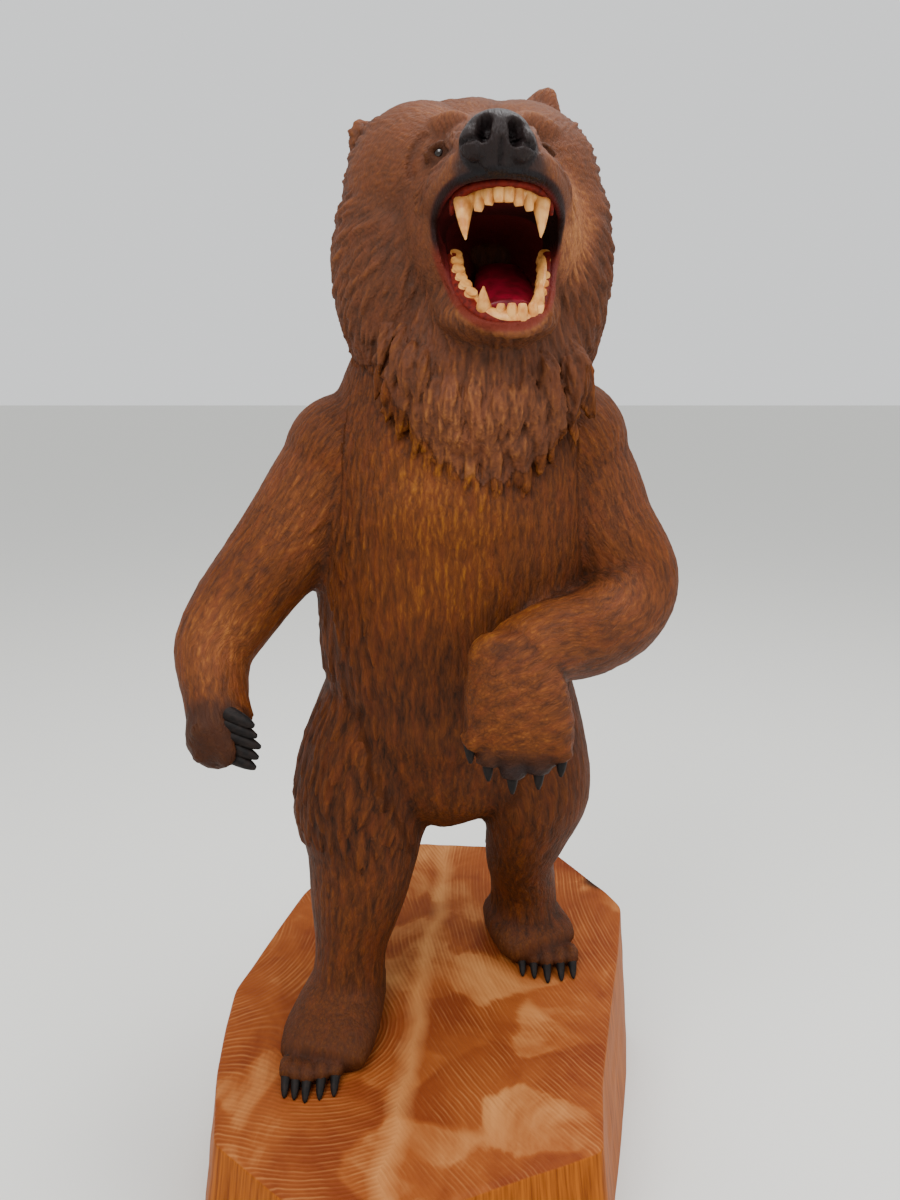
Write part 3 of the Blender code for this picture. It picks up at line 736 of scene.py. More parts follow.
@dataclass(frozen=True)
class StainedFur:
    """Softwood, gouge cut and wiped with brown stain: darker in the cuts, lighter on raised ridges, with
    painted highlights and painted shade laid over the stain.
    """

    groove: str = "#1c0b02"
    shade: str = "#431f07"
    stain: str = "#5b2d09"
    # worn and gold are the lighter stops of the stain; the painted highlights of the gold attribute lift the
    # colour towards them.
    worn: str = "#7f4a13"
    gold: str = "#b07a2e"
    russet: str = "#632a0e"
    # mane lays a greyer brown over the head: partly the head's own tone, partly painted cool light from
    # above.
    mane: str = "#623d2c"
    # paw is the dark brown of the feet and near fist, and also the painted shade in the eye hollows, under
    # the far paw's fingers and at the shadow spots.
    paw: str = "#2a1409"
    # nose is the black paint of nose and muzzle, and is also used as painted shade under the far paw's
    # fingers.
    nose: str = "#151315"
    # lip is the dark paint of the upper lip's rim, made darker as painted shade under the lip.
    lip: str = "#1e0906"
    lower_lip: str = "#5e1f12"
    # throat is the dark red paint inside the mouth, darkened as painted shade of the cavity.
    throat: str = "#4c100f"
    roughness: float = 0.6
    bristle_mm: float = 1.3
    stroke_mm: float = 2.5
    stretch: float = 0.22

    def material(self) -> bpy.types.Material:
        """Build the finish.

        Returns:
            The material, which reads the attributes that Bear writes.
        """
        mat = bpy.data.materials.new("stained_carved_softwood")
        mat.use_nodes = True
        tree = mat.node_tree
        shader = tree.nodes["Principled BSDF"]
        shader.inputs["Specular IOR Level"].default_value = 0.14
        read = {name: add(tree, "ShaderNodeAttribute", attribute_name=name).outputs
                for name in ("fur", "cut", "proud", "gold", "pale", "mane", "paw", "nose", "lip",
                             "lip_low", "throat")}
        place_of = add(tree, "ShaderNodeTexCoord").outputs["Object"]
        sway = add(tree, "ShaderNodeTexNoise", {"Vector": place_of, "Scale": 90.0, "Detail": 1.0})
        wavy = add(tree, "ShaderNodeVectorMath", {
            0: sway.outputs["Color"], 1: (0.005, 0.005, 0.005), 2: read["fur"]["Vector"]},
            operation="MULTIPLY_ADD")
        stretched = add(tree, "ShaderNodeVectorMath", {
            0: wavy.outputs[0], 1: (1.0, 1.0, self.stretch)}, operation="MULTIPLY")
        bristle = add(tree, "ShaderNodeTexNoise", {
            "Vector": stretched.outputs[0], "Scale": 1000 / self.bristle_mm, "Detail": 3.0,
            "Roughness": 0.6})
        stroke = add(tree, "ShaderNodeTexVoronoi", {
            "Vector": stretched.outputs[0], "Scale": 1000 / self.stroke_mm})
        apart = add(tree, "ShaderNodeSeparateColor", {0: stroke.outputs["Color"]})
        streak = add(tree, "ShaderNodeTexNoise", {
            "Vector": stretched.outputs[0], "Scale": 120.0, "Detail": 2.0})
        blotch = add(tree, "ShaderNodeTexNoise", {"Vector": place_of, "Scale": 14.0, "Detail": 4.0})
        # Tone of the stain: random noises, darker in the cuts, lighter on raised ridges, and the gold
        # attribute, which adds painted highlights and painted shade.
        terms = (
            (bristle.outputs["Fac"], 0.34), (stroke.outputs["Distance"], -0.17), (apart.outputs[0], 0.1),
            (streak.outputs["Fac"], 0.14), (blotch.outputs["Fac"], 0.22), (read["cut"]["Fac"], -0.14),
            (read["proud"]["Fac"], 0.13), (read["gold"]["Fac"], 0.25),
        )
        tone: Socket | None = None
        for value, share in terms:
            tone = add(tree, "ShaderNodeMath", {0: value, 1: share, 2: tone or 0.07},
                       operation="MULTIPLY_ADD").outputs[0]
        wood = add(tree, "ShaderNodeValToRGB", {"Fac": tone}, stops=[
            (0.0, linear(self.groove)), (0.26, linear(self.shade)), (0.46, linear(self.stain)),
            (0.68, linear(self.worn)), (0.98, linear(self.gold))]).outputs["Color"]
        redder = add(tree, "ShaderNodeMapRange", {
            "Value": streak.outputs["Fac"], "From Min": 0.45, "From Max": 0.7, "To Max": 0.3})
        colour = add(tree, "ShaderNodeMix", {
            0: redder.outputs[0], 6: wood, 7: linear(self.russet)}, data_type="RGBA").outputs[2]
        # Painted highlights: the pale attribute lightens and greys the colour where light falls on the top
        # and outer sides.
        colour = add(tree, "ShaderNodeHueSaturation", {
            "Saturation": 0.92, "Value": 1.7, "Fac": read["pale"]["Fac"], "Color": colour}).outputs[0]
        # Coats laid over the stain: paw and nose also lay painted shade, mane also painted cool light, and
        # lip and throat also painted shade in the mouth.
        coats = (
            ("mane", self.mane, 0.34), ("paw", self.paw, 0.8), ("throat", self.throat, 1.0),
            ("lip_low", self.lower_lip, 0.9), ("lip", self.lip, 1.0), ("nose", self.nose, 0.95),
        )
        for name, code, most in coats:
            mask = add(tree, "ShaderNodeMath", {0: read[name]["Fac"], 1: most}, operation="MULTIPLY")
            colour = add(tree, "ShaderNodeMix", {0: mask.outputs[0], 6: colour, 7: linear(code)},
                         data_type="RGBA").outputs[2]
        tree.links.new(colour, shader.inputs["Base Color"])
        gloss = add(tree, "ShaderNodeMapRange", {
            "Value": read["nose"]["Fac"], "To Min": self.roughness, "To Max": 0.42})
        tree.links.new(gloss.outputs[0], shader.inputs["Roughness"])
        valley = add(tree, "ShaderNodeMath", {
            0: stroke.outputs["Distance"], 1: -0.7, 2: bristle.outputs["Fac"]}, operation="MULTIPLY_ADD")
        bump = add(tree, "ShaderNodeBump", {
            "Height": valley.outputs[0], "Strength": 0.6, "Distance": 1.6 * MM})
        tree.links.new(bump.outputs[0], shader.inputs["Normal"])
        return mat


@dataclass
class Bear:
    """The carved figure: masses fused into one form, then cut all over with gouges."""

    scale: BearScale = field(default_factory=BearScale)
    masses: Masses = field(default_factory=Masses)
    finish: StainedFur = field(default_factory=StainedFur)
    rough_voxel: float = 0.0036
    fine_voxel: float = 0.0018
    triangles: int = 189000
    fewest_triangles: int = 178000
    most_triangles: int = 199000
    first_ratio: float = 0.463
    seed: int = 11
    # Painted highlights on the right cheek, chest, arms, far paw and crown, and painted shade on the left
    # cheek where the share is negative: centre, radii and share.
    highlight_and_shade_spots: tuple = (
        ((11.6, -7.5, 86.0), (3.6, 5.0, 6.5), 1.1), ((4.0, -10.0, 68.5), (8.0, 6.0, 6.5), 0.45),
        ((-4.6, -6.0, 84.0), (4.0, 5.0, 8.0), -0.3), ((-3.0, -8.0, 64.5), (4.6, 6.0, 4.6), 0.25),
        ((6.5, -18.0, 39.0), (6.0, 4.0, 6.0), 0.5),
        ((-23.4, -8.0, 44.5), (6.0, 7.0, 6.5), 0.45), ((-17.0, -1.0, 55.0), (6.0, 8.0, 9.0), 0.25),
        ((3.6, -6.0, 97.0), (9.0, 6.0, 2.5), 0.4), ((9.5, -12.5, 45.0), (7.0, 7.0, 6.0), 0.2),
    )
    # Painted highlights that lighten and grey the colour on the right cheek, crown, chest, shoulders, arms
    # and far paw: centre, radii and share.
    highlight_spots: tuple = (
        ((11.4, -8.0, 85.5), (3.8, 6.0, 7.0), 1.0), ((3.8, -8.0, 96.0), (8.0, 8.0, 3.5), 0.35),
        ((4.0, -10.0, 68.0), (8.0, 7.0, 6.0), 0.55), ((-9.0, -3.0, 82.0), (4.0, 6.0, 11.0), 0.3),
        ((-16.0, 0.0, 57.0), (6.0, 8.0, 11.0), 0.35), ((-24.0, -9.0, 43.0), (5.0, 8.0, 7.0), 0.3),
        ((17.0, 1.0, 57.0), (5.0, 8.0, 10.0), 0.35), ((18.0, -4.0, 47.0), (7.0, 8.0, 6.0), 0.35),
        ((8.0, -16.0, 42.0), (7.0, 6.0, 7.0), 0.25),
    )
    # Painted shadows above the near fist, at the top of the far paw's wrist and low on the belly: centre and
    # radius.
    shadow_spots: tuple = (
        ((-22.0, -16.6, 41.9), 0.5), ((-23.0, -16.4, 40.7), 0.45), ((4.8, -18.4, 46.6), 1.3),
        ((-1.5, -10.6, 34.0), 0.5),
    )

    def build(self) -> bpy.types.Object:
        """Fuse, carve and finish the figure.

        Returns:
            The finished piece.
        """
        bear = joined("bear_carving", self._body() + self._head())
        applied(bear, "REMESH", mode="VOXEL", voxel_size=self.rough_voxel)
        applied(bear, "SMOOTH", factor=0.5, iterations=6)
        masses = self.masses
        cutter = self.scale.limb(masses.mouth, (0.0, 0.0, 1.0), sides=48, power=masses.mouth_power,
                                 spread=masses.mouth_spread, lean=masses.mouth_lean)
        cutter.hide_render = True
        applied(bear, "BOOLEAN", operation="DIFFERENCE", solver="EXACT", object=cutter)
        bpy.data.objects.remove(cutter)
        bear = joined("bear_carving", [bear] + self._face_details() + self._paws() + self._ruff_tufts())
        applied(bear, "REMESH", mode="VOXEL", voxel_size=self.fine_voxel)
        applied(bear, "SMOOTH", factor=0.5, iterations=2)
        LOG.info("fused: %d points", len(bear.data.vertices))
        fur = FurRun(self.scale, self.masses)
        carver = Carver(bear, self.seed)
        self._carve(carver, fur)
        cut, proud = carver.press()
        self._thin(bear)
        self._mark(bear, carver, fur, cut, proud)
        bear.data.polygons.foreach_set("use_smooth", np.ones(len(bear.data.polygons), dtype=bool))
        return place(bear, self.finish.material())

    def _body(self) -> list[bpy.types.Object]:
        """Trunk, limbs and feet."""
        front, up, scale, masses = (0.0, 1.0, 0.0), (0.0, 0.0, 1.0), self.scale, self.masses
        near_foot = ((-11.6, -0.6, 2.6, 4.0, 3.2), (-12.2, -5.0, 2.8, 4.8, 3.8),
                     (-13.4, -9.6, 1.9, 5.4, 3.2), (-14.2, -13.0, 1.2, 4.9, 2.3))
        far_foot = ((8.6, 11.2, 2.6, 4.5, 3.2), (9.4, 7.8, 2.8, 5.1, 3.8),
                    (10.8, 5.6, 2.1, 5.5, 3.1), (11.8, 3.9, 1.6, 4.8, 2.3))
        parts = [
            scale.limb(masses.trunk, front, sides=40, power=2.2),
            scale.limb(masses.arm_near, front),
            scale.limb(masses.arm_far, up),
            scale.limb(masses.leg_near, front),
            scale.limb(masses.leg_far, front),
        ]
        for row in (near_foot, far_foot):
            stations = [(*scale.on_ground(*station[:3]), *station[3:]) for station in row]
            parts.append(scale.limb(stations, up))
        lumps = (
            ((0.4, -2.6, 57.0), (13.0, 7.0, 9.5)), ((-0.4, -1.5, 35.0), (11.5, 7.0, 9.0)),
            ((-11.6, 3.0, 63.2), (6.9, 8.4, 7.0)), ((13.0, 3.2, 64.6), (6.8, 8.4, 7.2)),
            ((-8.0, 8.6, 31.0), (8.2, 6.4, 8.6)), ((7.2, 8.8, 31.6), (7.6, 6.4, 8.6)),
            ((-0.4, 14.8, 32.6), (2.4, 2.4, 3.4)), ((1.2, 11.0, 68.0), (10.5, 5.6, 9.6)),
            ((-23.3, -15.2, 37.0), (3.2, 3.4, 3.7)), ((4.6, -15.6, 45.0), (3.0, 2.6, 2.6)),
        )
        return parts + [scale.lump(centre, radii) for centre, radii in lumps]

    def _head(self) -> list[bpy.types.Object]:
        """Skull, mane, face, muzzle and lower jaw."""
        scale, up = self.scale, (0.0, 0.0, 1.0)
        lumps = (
            ((-2.6, 0.4, 90.2), (8.4, 9.6, 9.1)), ((6.9, 0.6, 90.4), (8.6, 9.6, 9.0)),
            ((2.4, 1.0, 90.6), (8.0, 8.6, 9.2)), ((-3.5, 0.0, 83.0), (8.8, 9.0, 13.4)),
            ((8.7, 0.2, 83.2), (8.2, 9.0, 15.0)), ((2.4, 7.0, 82.0), (10.0, 6.4, 14.0)),
            ((3.6, -3.6, 73.2), (10.2, 7.8, 11.6)), ((3.9, -5.4, 85.8), (9.4, 8.4, 9.6)),
        )
        bridge = ((3.4, -3.0, 93.0, 6.4, 4.6), (3.8, -8.0, 92.4, 5.0, 4.0), (4.1, -12.0, 91.9, 4.3, 3.3),
                  (4.2, -16.0, 91.4, 3.9, 2.9), (4.2, -19.0, 91.0, 3.3, 2.4))
        lips = ((4.2, -5.0, 87.6, 7.6, 5.4), (4.3, -10.0, 88.0, 7.2, 4.6), (4.4, -13.6, 88.4, 6.7, 4.0),
                (4.4, -16.4, 89.0, 5.6, 3.4), (4.3, -18.4, 89.8, 4.4, 2.6), (4.2, -19.3, 90.2, 3.0, 1.8))
        jaw = ((3.9, -3.0, 81.0, 6.8, 5.2), (4.3, -8.0, 78.8, 6.5, 4.4), (4.8, -12.5, 77.3, 5.5, 2.7),
               (5.3, -15.2, 76.8, 4.4, 1.6), (5.5, -16.4, 76.5, 3.4, 1.2))
        return [scale.lump(*lump) for lump in lumps] + [scale.limb(row, up) for row in (bridge, lips, jaw)]

    def _face_details(self) -> list[bpy.types.Object]:
        """Nose, brows, eyelids, lips, ears and the tuft on the crown."""
        scale, up, front = self.scale, (0.0, 0.0, 1.0), (0.0, 1.0, 0.0)
        parts = [
            scale.lump((4.0, -19.5, 91.6), (3.0, 2.2, 2.4), (-14, 0, 0)),
            scale.lump((3.9, -19.2, 92.6), (2.3, 1.6, 1.2)),
            scale.lump((2.0, -20.2, 91.1), (1.3, 1.3, 1.5)),
            scale.lump((6.0, -20.2, 90.9), (1.3, 1.3, 1.5)),
            scale.lump((4.0, -20.0, 89.9), (1.5, 1.0, 1.2)),
            scale.lump((-8.8, 0.6, 95.2), (1.6, 1.2, 2.5), (0, -10, 0)),
            scale.lump((0.9, -0.6, 98.4), (2.4, 1.6, 0.9), (0, 6, 0)),
            scale.limb(((8.8, 0.6, 94.6, 3.0, 1.6), (9.1, 0.6, 97.2, 2.6, 1.3),
                        (9.8, 0.9, 99.4, 1.7, 0.9), (10.4, 1.2, 100.6, 0.6, 0.5)), front),
        ]
        for sign, mid in ((-1, 4.0), (1, 3.6)):
            parts.append(scale.limb((
                (mid + sign * 8.4, -4.2, 92.6, 0.8, 1.6), (mid + sign * 6.2, -6.5, 94.2, 0.8, 1.7),
                (mid + sign * 4.0, -8.0, 95.0, 0.8, 1.6), (mid + sign * 2.2, -10.2, 94.4, 0.7, 1.2),
                (mid + sign * 1.2, -13.0, 93.6, 0.6, 0.8)), up))
            eye = mid + sign * 4.9
            for lift in (0.72, -0.66):
                parts.append(scale.limb((
                    (eye - 1.3, -9.6, 92.1, 0.3, 0.3), (eye, -10.2, 92.3 + lift, 0.34, 0.34),
                    (eye + 1.3, -9.7, 92.2, 0.3, 0.3)), up, sides=12))
        for line, half in ((self.masses.lip_upper, 0.4), (self.masses.lip_lower, 0.42)):
            parts.append(scale.limb([(*spot, half, half) for spot in line], up, sides=14))
        return parts

    def _paws(self) -> list[bpy.types.Object]:
        """Fingers, pads and toes."""
        scale = self.scale
        parts = [
            scale.lump((-23.9, -17.6, 37.9), (1.5, 0.9, 1.3)),
            scale.lump((-24.2, -17.3, 35.6), (1.3, 0.9, 1.1)),
            scale.lump((-22.0, -17.9, 36.0), (1.2, 0.8, 1.6)),
            scale.limb(((5.0, -14.4, 46.0, 3.2, 3.0), (6.0, -15.6, 43.0, 4.8, 3.5),
                        (6.7, -16.2, 39.6, 5.4, 3.5), (6.7, -16.7, 36.6, 5.5, 3.0),
                        (6.5, -17.2, 34.9, 4.4, 2.2)), (0.0, 1.0, 0.0), power=2.4),
        ]
        for i in range(5):
            height = 39.2 - 1.08 * i
            parts.append(scale.limb((
                (-23.4, -13.8, height, 1.0, 1.0), (-21.8, -14.8, height, 1.0, 1.0),
                (-21.1, -16.4, height, 0.9, 0.9)), (0.0, 0.0, 1.0), sides=14))
        for x, z in self.masses.fingers_far:
            parts.append(scale.limb((
                (0.35 * x + 4.2, -17.2, 41.5, 1.2, 1.2), (0.8 * x + 1.3, -18.0, 38.0, 1.25, 1.2),
                (x, -18.0, z, 1.3, 1.3)), (0.0, 1.0, 0.0), sides=14))
        for x, y in self.masses.toe_places():
            parts.append(scale.lump(scale.on_ground(x, y, 1.1), (0.95, 1.7, 1.3), segments=20))
        return parts

    def _ruff_tufts(self) -> list[bpy.types.Object]:
        """Pointed locks along the lower edge of the ruff, laid on the beard's own curve."""
        rng = np.random.default_rng(self.seed)
        parts = []
        for level in range(2):
            for i in range(20 - 2 * level):
                x = -5.4 + 0.98 * i + 0.66 * level + rng.uniform(-0.4, 0.4)
                edge = 61.4 + 0.09 * (x - 4.0) ** 2 + 3.4 * level + rng.uniform(-1.3, 1.0)
                size = rng.uniform(0.8, 1.25)
                rows = []
                profile = ((6.4, 0.6, -0.9), (4.2, size, 0.1), (1.9, 0.75 * size, 0.35), (-0.4, 0.1, 0.2))
                for drop, half, out in profile:
                    z = edge + drop
                    inside = max(1 - ((x - 3.6) / 10.2) ** 2 - ((z - 73.2) / 11.6) ** 2, 0.12)
                    bulge = max(1 - ((x - 0.4) / 13) ** 2 - ((z - 57) / 9.5) ** 2, 0)
                    body = 3.2 - (11.4 - 0.18 * (z - 63)) * math.sqrt(1 - ((x - 0.9) / 16.2) ** 2)
                    y = min(-3.6 - 7.8 * math.sqrt(inside), -2.6 - 7 * math.sqrt(bulge), body) - out
                    rows.append((x + 0.09 * (x - 4.0) * (6.4 - drop) / 3, y, z, half, 0.6 * half + 0.1))
                parts.append(self.scale.limb(rows, (0.0, 1.0, 0.0), sides=12))
        return parts

    def _carve(self, carver: Carver, fur: FurRun) -> None:
        """Cut the fur, region by region, and the folds of the face.

        Args:
            carver: Working copy of the fused form.
            fur: Direction of the fur.
        """
        at = self.scale.at
        run, regions, _ = fur.follow(carver.points)
        run = run - carver.normals * np.einsum("ij,ij->i", run, carver.normals)[:, None]
        run /= np.maximum(np.linalg.norm(run, axis=1), 1e-6)[:, None]
        x, y, z = self.scale.shares(carver.points).T
        mouth = self._mouth_share(x, y, z) < 1.25
        nose = (y < -16.8) & (z > 88.4)
        head = (regions == Region.HEAD.value) & ~mouth & ~nose
        front = (y < -3.5) & (z > 76) & (np.abs(x - 4) < 8.5 + 0.5 * (y + 3.5))
        mane = head & ~front & (z < 97) & ((carver.normals[:, 1] > -0.3) | (z < 78 + 0.06 * (x - 4) ** 2))
        face = head & ~mane
        trunk = regions == Region.TRUNK.value
        legs = (regions == Region.LEG_NEAR.value) | (regions == Region.LEG_FAR.value)
        flank = trunk & (x < -8) & (z > 33) & (z < 52)
        armpit = (x > -14) & (x < -8.5) & (z > 52) & (z < 58) & (y < 2)
        thigh = legs & (x < -5) & (z > 21) & (z < 37) & (y < 2)
        outer = mane & (np.abs(carver.normals[:, 0]) > 0.45) & (y > -9)
        ruff = head & (z < 77) & (y < 3) & (z > fur.ruff_edge(x) + 1.5)
        carver.cut(mane & ~ruff, run, Gouge(13, 46, 12, 2.6, 0.22), locks=True)
        carver.cut(outer, run, Gouge(17, 40, 14, 4.8, 0.2), locks=True)
        middle = ruff & (np.abs(x - 4) < 6)
        carver.cut(ruff & ~middle, run, Gouge(12, 48, 10, 3.6, 0.25), locks=True)
        carver.cut(middle, run, Gouge(11, 60, 8, 2.8, 0.15), locks=True)
        carver.cut(mane | ruff, run, Gouge(5.5, 28, 4.0, 1.6, 0.2))
        carver.cut(flank | thigh | armpit, run, Gouge(17, 38, 13, 2.4, 0.35), locks=True)
        carver.cut(face & ~ruff, run, Gouge(5.0, 14, 3.6, 0.65, 0.3))
        carver.cut(~head & ~mouth & ~nose & (z > 5), run, Gouge(6.0, 20, 4.4, 0.8, 0.15))
        share = self.scale.share
        for sign, side, high in ((-1, 2.75, 92.3), (1, 5.6, 91.9)):
            carver.groove([at(side, -21.4, high + 0.5), at(side + 0.1 * sign, -21.6, high - 0.6)],
                          1.7 * share, 1.5 * share)
            slit = [at(side + 0.2 * sign, -21.6, high - 0.9), at(side + 1.7 * sign, -20.4, high - 1.3)]
            carver.groove(slit, 0.7 * share, 0.5 * share)
        carver.groove([at(4.3, -21.6, 91.2), at(4.2, -20.6, 89.3)], 0.6 * share, 0.3 * share)
        crease = [at(-3.6, -8.4, 90.4), at(-3.7, -8.2, 91.6), at(-3.3, -8.0, 93.0), at(-2.5, -7.6, 94.0)]
        carver.groove([Vector(carver.tree.find(spot)[0]) for spot in crease], 1.3 * share, 0.28 * share)

    def _mouth_share(self, x: np.ndarray, y: np.ndarray, z: np.ndarray) -> np.ndarray:
        """How far a point lies from the mouth's middle line.

        Args:
            x: Places across, in hundredths.
            y: Places in depth, in hundredths.
            z: Heights, in hundredths.

        Returns:
            1 on the wall of the mouth, less inside it.
        """
        rows = blend_rows(self.masses.mouth, 4)
        middle_x, middle_z, wide, high = (np.interp(y, rows[:, 1], rows[:, k]) for k in (0, 2, 3, 4))
        power = self.masses.mouth_power
        level = (z - middle_z) / high
        bound = np.clip(level, -1, 1)
        middle_x = middle_x + self.masses.mouth_lean * bound
        across = (x - middle_x) / (wide * (1 + self.masses.mouth_spread * bound))
        share = (np.abs(across) ** power + np.abs(level) ** power) ** (1 / power)
        return np.where(y < -2.5, share, 9.0)

    def _thin(self, bear: bpy.types.Object) -> None:
        """Collapse triangles down to the number wanted, less on the head than elsewhere.

        Args:
            bear: Carved object.
        """
        _, _, z = self.scale.shares(vectors(bear.data.vertices, "co")).T
        group = bear.vertex_groups.new(name="thin")
        levels = np.round(2 + 6 * rise(z, 68, 52))
        for level in range(2, 9):
            group.add([int(i) for i in np.flatnonzero(levels == level)], level / 8, "REPLACE")
        full = bear.data.copy()
        ratio = self.first_ratio
        for _ in range(4):
            bear.data = full.copy()
            applied(bear, "DECIMATE", ratio=min(ratio, 1.0), vertex_group="thin", vertex_group_factor=0.5)
            made = len(bear.data.polygons)
            LOG.info("thinned from %d to %d triangles", 2 * len(full.polygons), made)
            if self.fewest_triangles < made < self.most_triangles:
                break
            ratio *= self.triangles / made
        bear.vertex_groups.clear()

    def _mark(self, bear: bpy.types.Object, carver: Carver, fur: FurRun, cut: np.ndarray,
              proud: np.ndarray) -> None:
        """Write the attributes that the finish reads.

        Args:
            bear: Thinned object.
            carver: Fine carving that it came from.
            fur: Direction of the fur.
            cut: Depth of the cuts at the fine points, in millimetres.
            proud: Height above the neighbours at the fine points, in millimetres.
        """
        mesh = bear.data
        points = vectors(mesh.vertices, "co")
        tree = kdtree.KDTree(len(carver.points))
        for i, point in enumerate(carver.points):
            tree.insert(point, i)
        tree.balance()
        nearest = np.array([tree.find(point)[1] for point in points])
        _, regions, coords = fur.follow(points)
        x, y, z = self.scale.shares(points).T
        mouth = self._mouth_share(x, y, z)
        head = regions == Region.HEAD.value
        spots = np.stack([x, y, z], axis=1)
        nose_gap = reach(spots, (4.0, -20.2, 91.2), (3.7, 3.3, 2.9))
        snout_gap = reach(spots, (4.2, -19.4, 89.3), (4.0, 3.2, 2.3))
        eye_gap = np.minimum(*[reach(spots, (across, -10.4, 92.5), 1.0) for across in (-1.1, 8.7)])
        ground = np.array([self.scale.log.height(*p[:2]) for p in points])
        over_ground = (points[:, 2] - ground) / self.scale.share
        fist = reach(spots, (-23.4, -16.4, 36.6), 4.4)
        # The next two reaches lie under the far paw's fingers, where painted shade goes.
        under_finger_shade = reach(spots, (5.8, -18.5, 33.9), (7.2, 6, 2.9))
        rim = reach(spots, (5.8, -18.5, 32.7), (7.4, 6, 2.5))
        store(mesh, "fur", coords)
        store(mesh, "cut", cut[nearest])
        store(mesh, "proud", np.clip(proud[nearest], -1.0, 1.0))
        store(mesh, "mane", np.where(head, 1.0, 0.0))
        # Painted light for the gold attribute, held in worn: a painted highlight on the middle of the chest,
        # painted shade over the lower body except on the near arm, and the listed spots of highlight and
        # shade.
        chest_highlight = rise(np.hypot((x + 0.5) / 8, (z - 57) / 13), 1.2, 0.3) * (y < 0)
        worn = 0.5 * chest_highlight - 0.35 * rise(z, 50, 38) * (regions != Region.ARM_NEAR.value)
        for spot, radii, most in self.highlight_and_shade_spots:
            worn += most * rise(reach(spots, spot, radii), 1.2, 0.4)
        store(mesh, "gold", worn)
        # The paw attribute darkens the feet towards the ground and the near fist, and lays painted shade in
        # the eye hollows, under the far paw's fingers and at the shadow spots.
        paw = np.maximum(0.7 * rise(over_ground, 7.5, 1.5) * (z < 14), rise(fist, 1.05, 0.85))
        shade = np.maximum(rise(under_finger_shade, 1.1, 0.7), 0.75 * rise(eye_gap, 2.8, 0.9))
        for spot, radius in self.shadow_spots:
            shade = np.maximum(shade, 0.9 * rise(reach(spots, spot, radius), 1.3, 0.5))
        store(mesh, "paw", np.maximum(paw, shade))
        # The nose attribute is the black paint of nose and muzzle, and the rim term adds painted shade along
        # the lower edge of the far paw.
        black = np.maximum(rise(nose_gap, 1.1, 0.98), 0.85 * rise(snout_gap, 1.25, 0.85))
        store(mesh, "nose", np.maximum(black, 0.7 * rise(rim, 1.1, 0.8)))
        upper, lower = rise(z, 82.5, 84.5) * (y < -8), rise(z, 84.5, 82.5) * (y < -8)
        # Upper lip rim: its dark paint, made darker as painted shade under the lip.
        store(mesh, "lip", rise(mouth, 1.11, 1.05) * rise(mouth, 0.95, 1.0) * upper)
        store(mesh, "lip_low", rise(mouth, 1.18, 1.1) * rise(mouth, 0.96, 1.03) * lower)
        # Painted highlights: the pale attribute, summed from the listed spots.
        pale = np.zeros(len(points))
        for spot, radii, most in self.highlight_spots:
            pale += most * rise(reach(spots, spot, radii), 1.2, 0.4)
        store(mesh, "pale", np.clip(pale, 0, 1))
        # Inside of the mouth: dark red paint, darkened as painted shade of the cavity.
        store(mesh, "throat", rise(mouth, 1.1, 1.02))


